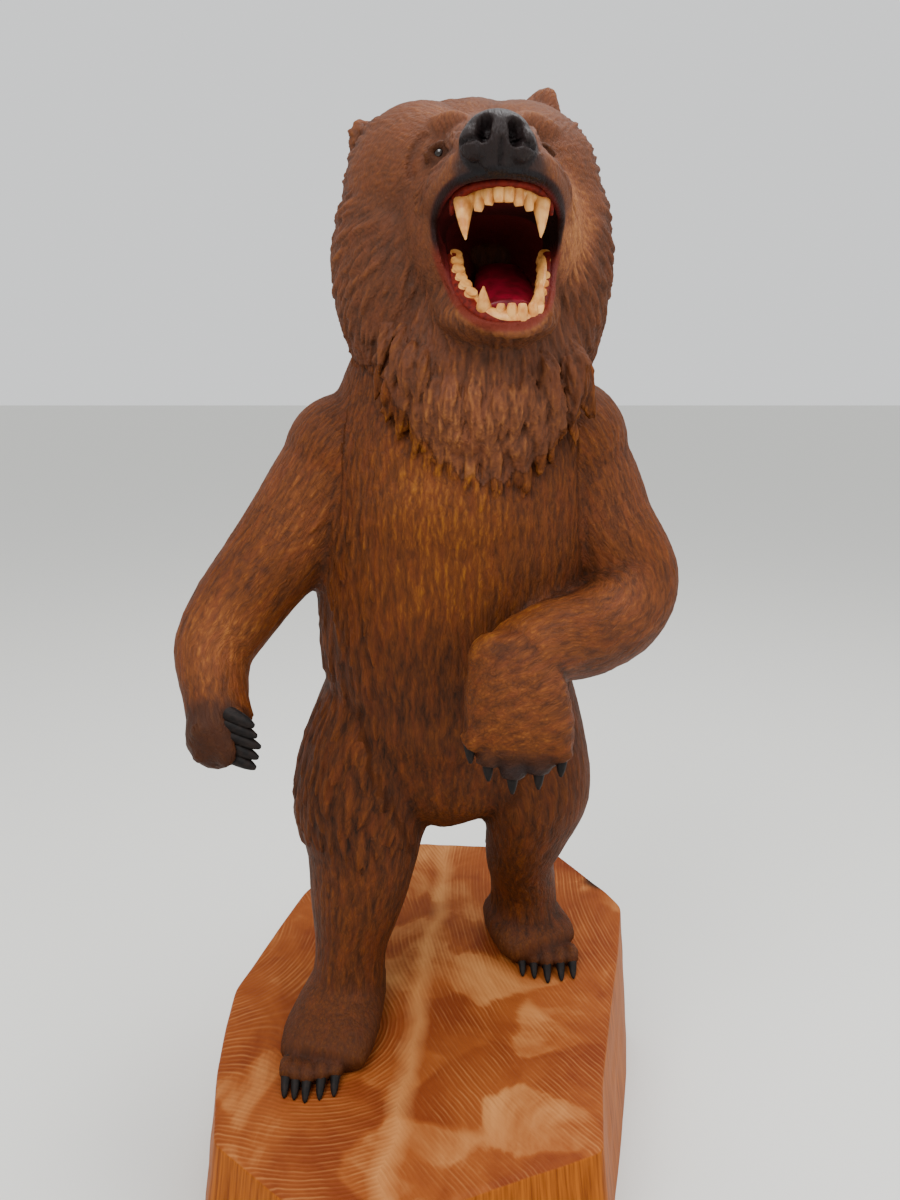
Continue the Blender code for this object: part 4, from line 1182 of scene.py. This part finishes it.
@dataclass(frozen=True)
class OiledLog:
    """Softwood end grain under oil: pale rings over an orange ground, and ochre sawn sides."""

    ground: str = "#83431a"
    pale: str = "#bb8049"
    blotch: str = "#6a2d11"
    late_wood: str = "#5c2206"
    sawn: str = "#965013"
    grain: str = "#6b3209"
    knot: str = "#2a1509"
    ring_mm: float = 3.9
    patch_mm: float = 62.0
    roughness: float = 0.55

    def material(self) -> bpy.types.Material:
        """Build the finish.

        Returns:
            The material, which reads the ring distances that LogBase writes.
        """
        mat = bpy.data.materials.new("oiled_log_end_grain")
        mat.use_nodes = True
        tree = mat.node_tree
        shader = tree.nodes["Principled BSDF"]
        read = {name: add(tree, "ShaderNodeAttribute", attribute_name=name).outputs
                for name in ("ring_near", "ring_far", "seam", "side", "girth", "knot")}
        spot = add(tree, "ShaderNodeTexCoord").outputs["Object"]
        wobble = add(tree, "ShaderNodeTexNoise", {"Vector": spot, "Scale": 22.0, "Detail": 3.0})
        bowed = add(tree, "ShaderNodeMath", {0: wobble.outputs["Fac"], 1: 0.03, 2: read["seam"]["Fac"]},
                    operation="MULTIPLY_ADD")
        beyond = add(tree, "ShaderNodeMath", {0: bowed.outputs[0], 1: 0.015}, operation="GREATER_THAN")
        ring = add(tree, "ShaderNodeMix", {
            0: beyond.outputs[0], 2: read["ring_near"]["Fac"], 3: read["ring_far"]["Fac"]})
        bent = add(tree, "ShaderNodeMath", {0: wobble.outputs["Fac"], 1: 0.006, 2: ring.outputs[0]},
                   operation="MULTIPLY_ADD")
        turn = add(tree, "ShaderNodeMath", {0: bent.outputs[0], 1: 2 * math.pi / (self.ring_mm * MM)},
                   operation="MULTIPLY")
        wave = add(tree, "ShaderNodeMath", {0: turn.outputs[0]}, operation="SINE")
        half = add(tree, "ShaderNodeMath", {0: turn.outputs[0], 1: 0.5}, operation="MULTIPLY")
        slow = add(tree, "ShaderNodeMath", {0: half.outputs[0]}, operation="SINE")
        bands = add(tree, "ShaderNodeMath", {0: slow.outputs[0], 1: 0.45, 2: wave.outputs[0]},
                    operation="MULTIPLY_ADD")
        cloud = add(tree, "ShaderNodeTexNoise", {
            "Vector": spot, "Scale": 9.0, "Detail": 5.0, "Roughness": 0.62, "Distortion": 0.6})
        shifted = add(tree, "ShaderNodeVectorMath", {
            0: cloud.outputs["Color"], 1: (0.05, 0.05, 0.05), 2: spot}, operation="MULTIPLY_ADD")
        patch = add(tree, "ShaderNodeTexVoronoi", {
            "Vector": shifted.outputs[0], "Scale": 1000 / self.patch_mm, "Smoothness": 0.2},
            feature="SMOOTH_F1")
        facet = add(tree, "ShaderNodeSeparateColor", {0: patch.outputs["Color"]})
        mottled = add(tree, "ShaderNodeMath", {0: facet.outputs[0], 1: 0.3, 2: -0.15},
                      operation="MULTIPLY_ADD")
        mixed = add(tree, "ShaderNodeMath", {0: cloud.outputs["Fac"], 1: mottled.outputs[0]}, operation="ADD")
        base = add(tree, "ShaderNodeValToRGB", {"Fac": mixed.outputs[0]}, stops=[
            (0.3, linear(self.blotch)), (0.52, linear(self.ground)), (0.86, linear(self.pale))])
        fade = add(tree, "ShaderNodeMapRange", {
            "Value": wobble.outputs["Fac"], "From Min": 0.4, "From Max": 0.62, "To Max": 0.3})
        line = add(tree, "ShaderNodeMapRange", {
            "Value": bands.outputs[0], "From Min": 0.2, "From Max": 1.4, "To Max": fade.outputs[0]})
        lit = add(tree, "ShaderNodeMix", {0: line.outputs[0], 6: base.outputs[0], 7: linear(self.pale)},
                  data_type="RGBA")
        dark = add(tree, "ShaderNodeMapRange", {
            "Value": bands.outputs[0], "From Min": -0.2, "From Max": -1.4, "To Max": fade.outputs[0]})
        top = add(tree, "ShaderNodeMix", {
            0: dark.outputs[0], 6: lit.outputs[2], 7: linear(self.late_wood)}, data_type="RGBA")
        gap = add(tree, "ShaderNodeMath", {0: bowed.outputs[0], 1: 0.015}, operation="SUBTRACT")
        off = add(tree, "ShaderNodeMath", {0: gap.outputs[0]}, operation="ABSOLUTE")
        stripe = add(tree, "ShaderNodeMapRange", {
            "Value": off.outputs[0], "From Min": 0.013, "From Max": 0.001, "To Max": 0.5})
        seamed = add(tree, "ShaderNodeMix", {0: stripe.outputs[0], 6: top.outputs[2], 7: linear(self.pale)},
                     data_type="RGBA")
        height = add(tree, "ShaderNodeSeparateXYZ", {0: spot})
        wall = add(tree, "ShaderNodeCombineXYZ", {"X": read["girth"]["Fac"]})
        low = add(tree, "ShaderNodeMath", {0: height.outputs[2], 1: 0.04}, operation="MULTIPLY")
        tree.links.new(low.outputs[0], wall.inputs["Z"])
        grain = add(tree, "ShaderNodeTexNoise", {
            "Vector": wall.outputs[0], "Scale": 260.0, "Detail": 4.0, "Roughness": 0.6})
        sawn = add(tree, "ShaderNodeValToRGB", {"Fac": grain.outputs["Fac"]}, stops=[
            (0.35, linear(self.grain)), (0.6, linear(self.sawn))])
        faced = add(tree, "ShaderNodeMix", {
            0: read["side"]["Fac"], 6: seamed.outputs[2], 7: sawn.outputs[0]}, data_type="RGBA")
        knotted = add(tree, "ShaderNodeMix", {
            0: read["knot"]["Fac"], 6: faced.outputs[2], 7: linear(self.knot)}, data_type="RGBA")
        tree.links.new(knotted.outputs[2], shader.inputs["Base Color"])
        shader.inputs["Roughness"].default_value = self.roughness
        shader.inputs["Specular IOR Level"].default_value = 0.08
        relief = add(tree, "ShaderNodeMix", {
            0: read["side"]["Fac"], 2: bands.outputs[0], 3: grain.outputs["Fac"]})
        bump = add(tree, "ShaderNodeBump", {
            "Height": relief.outputs[0], "Strength": 0.3, "Distance": 0.5 * MM})
        tree.links.new(bump.outputs[0], shader.inputs["Normal"])
        return mat


@dataclass
class LogBase:
    """The log under the bear: sloping top with a low ridge, rounded edge and sawn sides."""

    shape: LogShape = field(default_factory=LogShape)
    finish: OiledLog = field(default_factory=OiledLog)
    edge_radius: float = 0.004
    around: int = 360
    top_rings: int = 64
    side_rings: int = 26
    pith_far: Row = (0.435, 0.150)
    pith_near: Row = (-0.268, 0.084)
    pith_foot: Row = (-0.112, -0.06)
    foot_inset: float = 0.012

    def outline(self) -> np.ndarray:
        """Top's outline as evenly spaced points.

        Returns:
            Rows of x and y in metres, clockwise from the front corner.
        """
        corners = np.array(self.shape.corners)
        corners = np.stack([
            self.shape.middle_x + corners[:, 0] * self.shape.width,
            self.shape.middle_y + (corners[:, 1] - 0.5) * self.shape.depth], axis=1)
        closed = np.vstack([corners, corners[:1]])
        steps = np.linalg.norm(np.diff(closed, axis=0), axis=1)
        gone = np.concatenate([[0], np.cumsum(steps)])
        spots = np.linspace(0, gone[-1], self.around, endpoint=False)
        line = np.stack([np.interp(spots, gone, closed[:, k]) for k in (0, 1)], axis=1)
        for _ in range(3):
            line = 0.25 * np.roll(line, 1, axis=0) + 0.5 * line + 0.25 * np.roll(line, -1, axis=0)
        return line

    def top(self, x: float, y: float) -> float:
        """Height of the carved top, with the shallow facets that the saw left."""
        wave = noise.noise(Vector((9 * x, 9 * y, 3.0))) + 0.4 * noise.noise(Vector((34 * x, 26 * y, 7.0)))
        return self.shape.height(x, y) + 0.0022 * wave

    def build(self) -> bpy.types.Object:
        """Build and finish the log.

        Returns:
            The finished piece.
        """
        line = self.outline()
        middle = np.array((self.shape.middle_x, self.shape.middle_y))
        outward = line - middle
        outward /= np.linalg.norm(outward, axis=1)[:, None]
        verts, sides, girths = [], [], []
        step = np.linalg.norm(line - np.roll(line, 1, axis=0), axis=1)
        girth = np.cumsum(step)

        def ring(places: np.ndarray, heights: list[float], side: float) -> None:
            """Add one ring of points.

            Args:
                places: Rows of x and y.
                heights: Height of each point.
                side: 1 on the sawn sides, 0 on the top.
            """
            verts.extend((x, y, z) for (x, y), z in zip(places, heights))
            sides.extend([side] * len(places))
            girths.extend(girth)

        for k in range(1, self.top_rings + 1):
            reach = k / self.top_rings
            places = middle + (line - outward * self.edge_radius - middle) * reach
            ring(places, [self.top(x, y) for x, y in places], 0.0)
        rim = [self.top(x, y) for x, y in line]
        for k in range(1, 5):
            angle = math.pi / 2 * k / 4
            inset = self.edge_radius * (1 - math.sin(angle))
            drop = self.edge_radius * (1 - math.cos(angle))
            ring(line - outward * inset, [z - drop for z in rim], float(k > 2))
        for k in range(1, self.side_rings + 1):
            share = k / self.side_rings
            places = line + outward * self.shape.flare * share
            chop = [0.0012 * noise.noise(Vector((26 * g, 5 * share, 1.0))) for g in girth]
            places = places - outward * np.array(chop)[:, None] * math.sin(math.pi * share)
            ring(places, [(z - self.edge_radius) * (1 - share) for z in rim], 1.0)
        ring(line + outward * (self.shape.flare - self.foot_inset), [0.0] * self.around, 1.0)
        obj = self._closed(verts, middle)
        self._mark(obj, np.array(sides), np.array(girths))
        return place(obj, self.finish.material())

    def _closed(self, verts: list, middle: np.ndarray) -> bpy.types.Object:
        """Join the rings into one closed mesh.

        Args:
            verts: Points, ring after ring from the top's middle.
            middle: Place of both poles.

        Returns:
            The new object.
        """
        count = self.around
        rings = len(verts) // count
        faces = []
        for i in range(rings - 1):
            for k in range(count):
                n = (k + 1) % count
                faces.append((i * count + k, (i + 1) * count + k, (i + 1) * count + n, i * count + n))
        top, under = len(verts), len(verts) + 1
        verts.append((*middle, self.top(*middle)))
        verts.append((*middle, 0.0))
        last = (rings - 1) * count
        for k in range(count):
            n = (k + 1) % count
            faces.append((top, k, n))
            faces.append((under, last + n, last + k))
        obj = mesh_object("log_base", verts, faces)
        obj.data.shade_smooth()
        obj.data.set_sharp_from_angle(angle=math.radians(50))
        return obj

    def _mark(self, obj: bpy.types.Object, sides: np.ndarray, girths: np.ndarray) -> None:
        """Write the attributes that the finish reads.

        Args:
            obj: Log's object.
            sides: 1 on the sawn sides, 0 on the top, without the poles.
            girths: Distance round the outline, without the poles.
        """
        points = vectors(obj.data.vertices, "co")
        flat = points[:, :2]
        far = np.linalg.norm(flat - self.pith_far, axis=1)
        near = np.linalg.norm(flat - self.pith_near, axis=1)
        foot = np.linalg.norm(flat - self.pith_foot, axis=1) + 0.12
        soft = 0.03
        mixed = -soft * np.log(np.exp(-near / soft) + np.exp(-foot / soft))
        store(obj.data, "ring_near", mixed)
        store(obj.data, "ring_far", far)
        store(obj.data, "seam", flat[:, 0] - (-0.028 + 0.12 * flat[:, 1]))
        store(obj.data, "side", np.append(sides, (0.0, 1.0)))
        store(obj.data, "girth", np.append(girths, (0.0, 0.0)))
        knot = reach(points, (0.186, 0.165, 0.178), (0.03, 0.018, 0.03))
        store(obj.data, "knot", rise(knot, 1.1, 0.7))


@dataclass(frozen=True)
class Enamel:
    """Brush-painted enamel: one colour that thins and darkens a little from stroke to stroke."""

    name: str
    colour: str
    worn: str
    roughness: float
    stroke_mm: float = 4.0
    specular: float = 0.3

    def material(self) -> bpy.types.Material:
        """Build the finish.

        Returns:
            The material.
        """
        mat = bpy.data.materials.new(self.name)
        mat.use_nodes = True
        tree = mat.node_tree
        shader = tree.nodes["Principled BSDF"]
        spot = add(tree, "ShaderNodeTexCoord").outputs["Object"]
        brushed = add(tree, "ShaderNodeTexNoise", {
            "Vector": spot, "Scale": 1000 / self.stroke_mm, "Detail": 3.0})
        colour = add(tree, "ShaderNodeValToRGB", {"Fac": brushed.outputs["Fac"]}, stops=[
            (0.35, linear(self.worn)), (0.6, linear(self.colour))])
        tree.links.new(colour.outputs[0], shader.inputs["Base Color"])
        shader.inputs["Roughness"].default_value = self.roughness
        shader.inputs["Specular IOR Level"].default_value = self.specular
        bump = add(tree, "ShaderNodeBump", {
            "Height": brushed.outputs["Fac"], "Strength": 0.25, "Distance": 0.4 * MM})
        tree.links.new(bump.outputs[0], shader.inputs["Normal"])
        return mat


@dataclass(frozen=True)
class Horn:
    """One tooth or claw: places in hundredths, and the way its middle bows."""

    root: Row
    tip: Row
    half_width: float
    half_depth: float
    bow: Row = (0.0, -1.0, 0.0)


class HornSet:
    """Teeth or claws of one form, set on points by a Geometry Nodes tree."""

    def __init__(self, name: str, horns: list[Horn], finish: Enamel, bow: float, taper: float,
                 blunt: float = 0.08) -> None:
        """Take the set's form.

        Args:
            name: Name of the piece.
            horns: Its teeth or claws.
            finish: Paint on all of them.
            bow: How far the middle stands out, as a share of the length.
            taper: Power of the fall in width; below 1 gives a full form with a rounded tip.
            blunt: Width of the tip as a share of the root's.
        """
        self.name = name
        self.horns = horns
        self.finish = finish
        self.bow = bow
        self.taper = taper
        self.blunt = blunt

    def build(self, scale: BearScale) -> bpy.types.Object:
        """Set the horns and finish them.

        Args:
            scale: Bear's scale.

        Returns:
            The finished piece.
        """
        roots = [np.array(scale.at(*horn.root)) for horn in self.horns]
        aims = [np.array(scale.at(*horn.tip)) - root for horn, root in zip(self.horns, roots)]
        sizes = [(horn.half_width * scale.share, horn.half_depth * scale.share, np.linalg.norm(aim))
                 for horn, aim in zip(self.horns, aims)]
        obj = mesh_object(self.name, roots, [])
        store(obj.data, "aim", np.array(aims))
        store(obj.data, "bow_to", np.array([horn.bow for horn in self.horns]))
        store(obj.data, "size", np.array(sizes))
        modifier = obj.modifiers.new("horns", "NODES")
        modifier.node_group = self._tree()
        values = {"Bow": self.bow, "Taper": self.taper, "Blunt": self.blunt, "Steps": 12, "Sides": 16,
                  "Uneven": 0.06, "Seed": 3, "Finish": self.finish.material()}
        for socket in modifier.node_group.interface.items_tree:
            if socket.name in values:
                modifier[socket.identifier] = values[socket.name]
        return place(taken(obj))

    def _tree(self) -> bpy.types.NodeTree:
        """Build the tree: one tapering bowed horn, set on every point along its aim."""
        tree = bpy.data.node_groups.new(self.name + "_on_points", "GeometryNodeTree")
        face = tree.interface
        face.new_socket("Points", in_out="INPUT", socket_type="NodeSocketGeometry")
        for name in ("Bow", "Taper", "Blunt", "Uneven"):
            face.new_socket(name, in_out="INPUT", socket_type="NodeSocketFloat")
        for name in ("Steps", "Sides", "Seed"):
            face.new_socket(name, in_out="INPUT", socket_type="NodeSocketInt")
        face.new_socket("Finish", in_out="INPUT", socket_type="NodeSocketMaterial")
        face.new_socket("Horns", in_out="OUTPUT", socket_type="NodeSocketGeometry")
        given = add(tree, "NodeGroupInput").outputs
        middle = add(tree, "ShaderNodeCombineXYZ", {"X": given["Bow"], "Z": 0.55})
        line = add(tree, "GeometryNodeCurveQuadraticBezier", {
            "Resolution": given["Steps"], "Start": (0.0, 0.0, 0.0), "Middle": middle.outputs[0],
            "End": (0.0, 0.0, 1.0)})
        along = add(tree, "GeometryNodeSplineParameter").outputs["Factor"]
        left = add(tree, "ShaderNodeMath", {0: 1.0, 1: along}, operation="SUBTRACT")
        fall = add(tree, "ShaderNodeMath", {0: left.outputs[0], 1: given["Taper"]}, operation="POWER")
        width = add(tree, "ShaderNodeMath", {0: fall.outputs[0], 1: given["Blunt"]}, operation="MAXIMUM")
        sized = add(tree, "GeometryNodeSetCurveRadius", {
            "Curve": line.outputs[0], "Radius": width.outputs[0]})
        profile = add(tree, "GeometryNodeCurvePrimitiveCircle", {
            "Resolution": given["Sides"], "Radius": 1.0})
        horn = add(tree, "GeometryNodeCurveToMesh", {
            "Curve": sized.outputs[0], "Profile Curve": profile.outputs[0], "Scale": width.outputs[0],
            "Fill Caps": True})
        read = [add(tree, "GeometryNodeInputNamedAttribute", {"Name": name}, data_type="FLOAT_VECTOR")
                for name in ("aim", "bow_to", "size")]
        aimed = add(tree, "FunctionNodeAlignRotationToVector", {"Vector": read[0].outputs[0]}, axis="Z")
        turned = add(tree, "FunctionNodeAlignRotationToVector", {
            "Rotation": aimed.outputs[0], "Vector": read[1].outputs[0]}, axis="X", pivot_axis="Z")
        low = add(tree, "ShaderNodeMath", {0: 1.0, 1: given["Uneven"]}, operation="SUBTRACT")
        high = add(tree, "ShaderNodeMath", {0: 1.0, 1: given["Uneven"]}, operation="ADD")
        factor = add(tree, "FunctionNodeRandomValue", {
            2: low.outputs[0], 3: high.outputs[0], "Seed": given["Seed"]})
        size = add(tree, "ShaderNodeVectorMath", {0: read[2].outputs[0], 1: factor.outputs[1]},
                   operation="MULTIPLY")
        put = add(tree, "GeometryNodeInstanceOnPoints", {
            "Points": given["Points"], "Instance": horn.outputs[0], "Rotation": turned.outputs[0],
            "Scale": size.outputs[0]})
        real = add(tree, "GeometryNodeRealizeInstances", {"Geometry": put.outputs[0]})
        smooth = add(tree, "GeometryNodeSetShadeSmooth", {"Geometry": real.outputs[0]})
        painted = add(tree, "GeometryNodeSetMaterial", {
            "Geometry": smooth.outputs[0], "Material": given["Finish"]})
        add(tree, "NodeGroupOutput", {0: painted.outputs[0]})
        return tree


@dataclass
class Mouth:
    """Painted inside of the mouth: gums, tongue and every tooth."""

    scale: BearScale = field(default_factory=BearScale)
    ivory: Enamel = Enamel("ivory_enamel", "#d69b54", "#b97434", 0.42, 7.0)
    red: Enamel = Enamel("red_gum_enamel", "#6a1b10", "#470f09", 0.6, 4.0, 0.1)
    crimson: Enamel = Enamel("crimson_tongue_enamel", "#760d1f", "#520812", 0.4, 9.0, 0.25)

    upper_gum: Table = (
        (0.1, -14.4, 86.2, 0.2, 0.3), (0.3, -15.3, 87.2, 0.4, 0.5), (1.0, -16.3, 87.8, 0.5, 0.5),
        (2.5, -17.5, 88.2, 0.5, 0.4), (4.6, -18.1, 88.3, 0.5, 0.4), (6.8, -17.5, 88.2, 0.5, 0.4),
        (8.3, -16.3, 87.8, 0.5, 0.5), (9.0, -15.3, 87.2, 0.4, 0.5), (9.2, -14.4, 86.2, 0.2, 0.3),
    )
    lower_gum: Table = (
        (0.1, -9.4, 82.9, 0.8, 0.9), (0.6, -11.6, 80.5, 0.8, 0.9), (1.5, -13.6, 78.6, 0.8, 0.9),
        (3.2, -15.0, 77.1, 0.9, 0.9), (5.8, -15.7, 76.6, 0.9, 0.9), (7.9, -14.9, 77.1, 0.9, 0.9),
        (8.8, -13.4, 79.0, 0.8, 0.9), (9.2, -11.4, 81.0, 0.8, 0.9), (9.5, -9.4, 83.0, 0.8, 0.9),
    )
    upper_ridge: Table = (
        (0.9, -14.9, 87.1, 0.5, 0.6), (1.7, -15.8, 87.5, 0.55, 0.8), (3.2, -16.9, 87.6, 0.55, 0.8),
        (4.7, -17.3, 87.6, 0.55, 0.8), (6.2, -16.9, 87.6, 0.55, 0.8), (7.7, -15.8, 87.5, 0.55, 0.8),
        (8.4, -14.9, 87.1, 0.5, 0.6),
    )
    lower_ridge: Table = (
        (0.4, -8.6, 83.3, 0.4, 0.5), (0.6, -10.2, 81.8, 0.6, 0.7), (1.1, -11.8, 80.1, 0.6, 0.75),
        (1.9, -13.4, 78.8, 0.6, 0.75), (3.0, -14.9, 77.6, 0.6, 0.8), (4.4, -15.7, 77.2, 0.55, 0.8),
        (5.8, -15.95, 77.1, 0.55, 0.8), (7.2, -15.6, 77.2, 0.55, 0.8), (8.2, -14.8, 77.8, 0.6, 0.8),
        (8.6, -13.4, 79.3, 0.6, 0.75), (8.8, -11.8, 81.0, 0.6, 0.75), (9.0, -10.2, 82.4, 0.6, 0.7),
        (8.9, -8.6, 83.5, 0.4, 0.5),
    )
    tongue_line: Table = (
        (5.0, -4.0, 82.2, 2.4, 1.0), (5.3, -8.0, 80.2, 3.0, 1.2), (5.6, -11.4, 78.8, 2.8, 1.0),
        (5.8, -13.2, 78.2, 2.2, 0.7),
    )
    voxel: float = 0.0013

    def build(self) -> None:
        """Build gums, tongue and teeth."""
        limb, up, tilted = self.scale.limb, (0.0, 0.0, 1.0), (0.0, 0.5, 0.8)
        gums = [limb(self.upper_gum, up, sides=14), limb(self.lower_gum, tilted, sides=14)]
        ridges = [limb(self.upper_ridge, up, sides=14), limb(self.lower_ridge, tilted, sides=14)]
        tongue = [limb(self.tongue_line, up)]
        for name, made, finish in (("gums", gums, self.red), ("tooth_ridges", ridges, self.ivory),
                                   ("tongue", tongue, self.crimson)):
            obj = joined(name, made)
            applied(obj, "REMESH", mode="VOXEL", voxel_size=self.voxel)
            applied(obj, "SMOOTH", factor=0.5, iterations=4)
            obj.data.shade_smooth()
            place(obj, finish.material())
        for piece in self._teeth():
            piece.build(self.scale)

    def _teeth(self) -> list[HornSet]:
        """Canines, incisors and cheek teeth of both jaws."""
        canines = [
            Horn((1.15, -15.6, 87.6), (1.4, -17.0, 83.9), 1.0, 0.95, (-1, -1, 0)),
            Horn((8.2, -15.6, 87.6), (8.05, -17.0, 84.0), 0.9, 0.95, (1, -1, 0)),
            Horn((3.2, -14.4, 76.8), (3.06, -16.1, 79.7), 1.05, 1.0, (-1, -1, 0)),
            Horn((7.9, -14.2, 77.2), (8.3, -15.2, 80.3), 0.9, 0.9, (1, -1, 0)),
        ]
        incisors = [Horn((0.9 * x + 0.46, y + 0.35, 88.0), (x, y, z), 0.5, 0.55) for x, y, z in (
            (2.5, -17.0, 86.2), (3.4, -17.7, 86.55), (4.27, -18.1, 86.75), (5.14, -18.1, 86.75),
            (6.05, -17.7, 86.5), (7.05, -17.0, 86.1))]
        for i in range(4):
            out = (i - 1.5) / 1.5
            root = (6.1 + 1.45 * out, -16.0 + 0.4 * out ** 2, 76.7 + 0.15 * out ** 2)
            incisors.append(Horn(root, (root[0], root[1] - 0.3, root[2] + 1.5), 0.52, 0.55))
        cheek = []
        for i in range(6):
            t = i / 5
            for x, sign in ((0.5 + 1.4 * t * t, -1), (9.1 - 0.6 * t * t, 1)):
                root = (x, -9.2 - 4.2 * t, 82.6 - 3.8 * t)
                cheek.append(Horn(root, (x - 0.1 * sign, root[1] - 0.7, root[2] + 0.75), 0.82, 0.85,
                                  (sign, 0, 0)))
        return [HornSet("canine_teeth", canines, self.ivory, 0.1, 0.7),
                HornSet("incisors", incisors, self.ivory, 0.06, 0.14, 0.6),
                HornSet("cheek_teeth", cheek, self.ivory, 0.05, 0.2, 0.7)]


@dataclass
class ClawSets:
    """Black claws of the feet, the near fist and the far paw."""

    scale: BearScale = field(default_factory=BearScale)
    masses: Masses = field(default_factory=Masses)
    black: Enamel = Enamel("black_claw_enamel", "#0d0908", "#1a120f", 0.58, 5.0, 0.14)

    def build(self) -> None:
        """Build the three sets."""
        on_ground = self.scale.on_ground
        feet = [Horn(on_ground(x, y - 0.7, 1.25), on_ground(x, y - 2.25, 0.3), 0.5, 0.6, (0, -1, 1))
                for x, y in self.masses.toe_places()]
        fist = []
        for i in range(5):
            height = 39.3 - 1.08 * i
            tip = (-18.8 - 0.25 * abs(i - 2), -17.5, height - 0.7)
            fist.append(Horn((-21.4, -17.0, height + 0.2), tip, 0.75, 0.75, (0, -1, 0.4)))
        far = [Horn((x, -18.1, z + 0.2), (x - 0.02 * (x - 6), -18.4, z - 1.5), 0.66, 0.6)
               for x, z in self.masses.fingers_far]
        for name, horns, bow, taper, blunt in (("foot_claws", feet, 0.8, 0.3, 0.3),
                                               ("fist_claws", fist, 0.15, 0.3, 0.35),
                                               ("far_paw_claws", far, 0.15, 0.35, 0.35)):
            HornSet(name, horns, self.black, bow, taper, blunt).build(self.scale)


@dataclass
class Eyes:
    """Two small glossy eyes."""

    scale: BearScale = field(default_factory=BearScale)
    radius: float = 0.68
    gloss: Enamel = Enamel("dark_eye_enamel", "#120c0a", "#1e120c", 0.08, 6.0, 0.5)

    def build(self) -> None:
        """Build both eyes as one piece."""
        balls = [self.scale.lump((x, -9.7, 92.35), (self.radius,) * 3, segments=28) for x in (-0.9, 8.5)]
        eyes = joined("eyes", balls)
        eyes.data.shade_smooth()
        place(eyes, self.gloss.material())


@dataclass
class Studio:
    """Pale floor, soft lights and the camera of the photograph."""

    floor_half: float = 30.0
    camera_at: Row = (0.0, -0.97, 0.758)
    camera_down: float = 12.0
    lens: float = 31.2
    floor_colour: str = "#d9d8d3"

    def build(self) -> None:
        """Set the stage."""
        self._camera()
        size = self.floor_half
        corners = [(-size, -size, 0), (size, -size, 0), (size, size, 0), (-size, size, 0)]
        floor = mesh_object("floor", corners, [(0, 1, 2, 3)])
        pale = bpy.data.materials.new("pale_floor")
        pale.use_nodes = True
        shader = pale.node_tree.nodes["Principled BSDF"]
        shader.inputs["Base Color"].default_value = linear(self.floor_colour)
        shader.inputs["Roughness"].default_value = 0.9
        floor.data.materials.append(pale)
        world = bpy.data.worlds.new("soft_room")
        bpy.context.scene.world = world
        world.use_nodes = True
        glow = world.node_tree.nodes["Background"]
        glow.inputs["Color"].default_value = linear("#e9ebec")
        glow.inputs["Strength"].default_value = 1.25
        self._area("key", (-0.8, -1.6, 2.3), (0, 0, 0.6), 1.3, 55)
        self._area("top", (0.5, 0.3, 2.6), (0, 0, 0.5), 1.5, 50)
        self._area("fill", (1.8, -1.2, 1.3), (0, 0, 0.6), 1.2, 20)

    def _camera(self) -> None:
        """Place the camera: twelve degrees down, looking along +Y."""
        data = bpy.data.cameras.new("camera")
        data.lens = self.lens
        camera = bpy.data.objects.new("camera", data)
        camera.location = self.camera_at
        camera.rotation_euler = (math.radians(90 - self.camera_down), 0, 0)
        bpy.context.scene.collection.objects.link(camera)
        bpy.context.scene.camera = camera

    def _area(self, name: str, spot: Row, aim: Row, size: float, power: float) -> None:
        """Add one soft light.

        Args:
            name: Name of the light.
            spot: Place in metres.
            aim: Place that it faces.
            size: Side of its square in metres.
            power: Watts.
        """
        data = bpy.data.lights.new(name, "AREA")
        data.size = size
        data.energy = power
        lamp = bpy.data.objects.new(name, data)
        lamp.location = spot
        lamp.rotation_mode = "QUATERNION"
        lamp.rotation_quaternion = (Vector(aim) - Vector(spot)).to_track_quat("-Z", "Y")
        bpy.context.scene.collection.objects.link(lamp)


def main() -> None:
    """Build the stage and every piece."""
    logging.basicConfig(level=logging.INFO, format="%(name)s: %(message)s")
    Studio().build()
    LogBase().build()
    Bear().build()
    Mouth().build()
    ClawSets().build()
    Eyes().build()


if __name__ == "__main__":
    main()
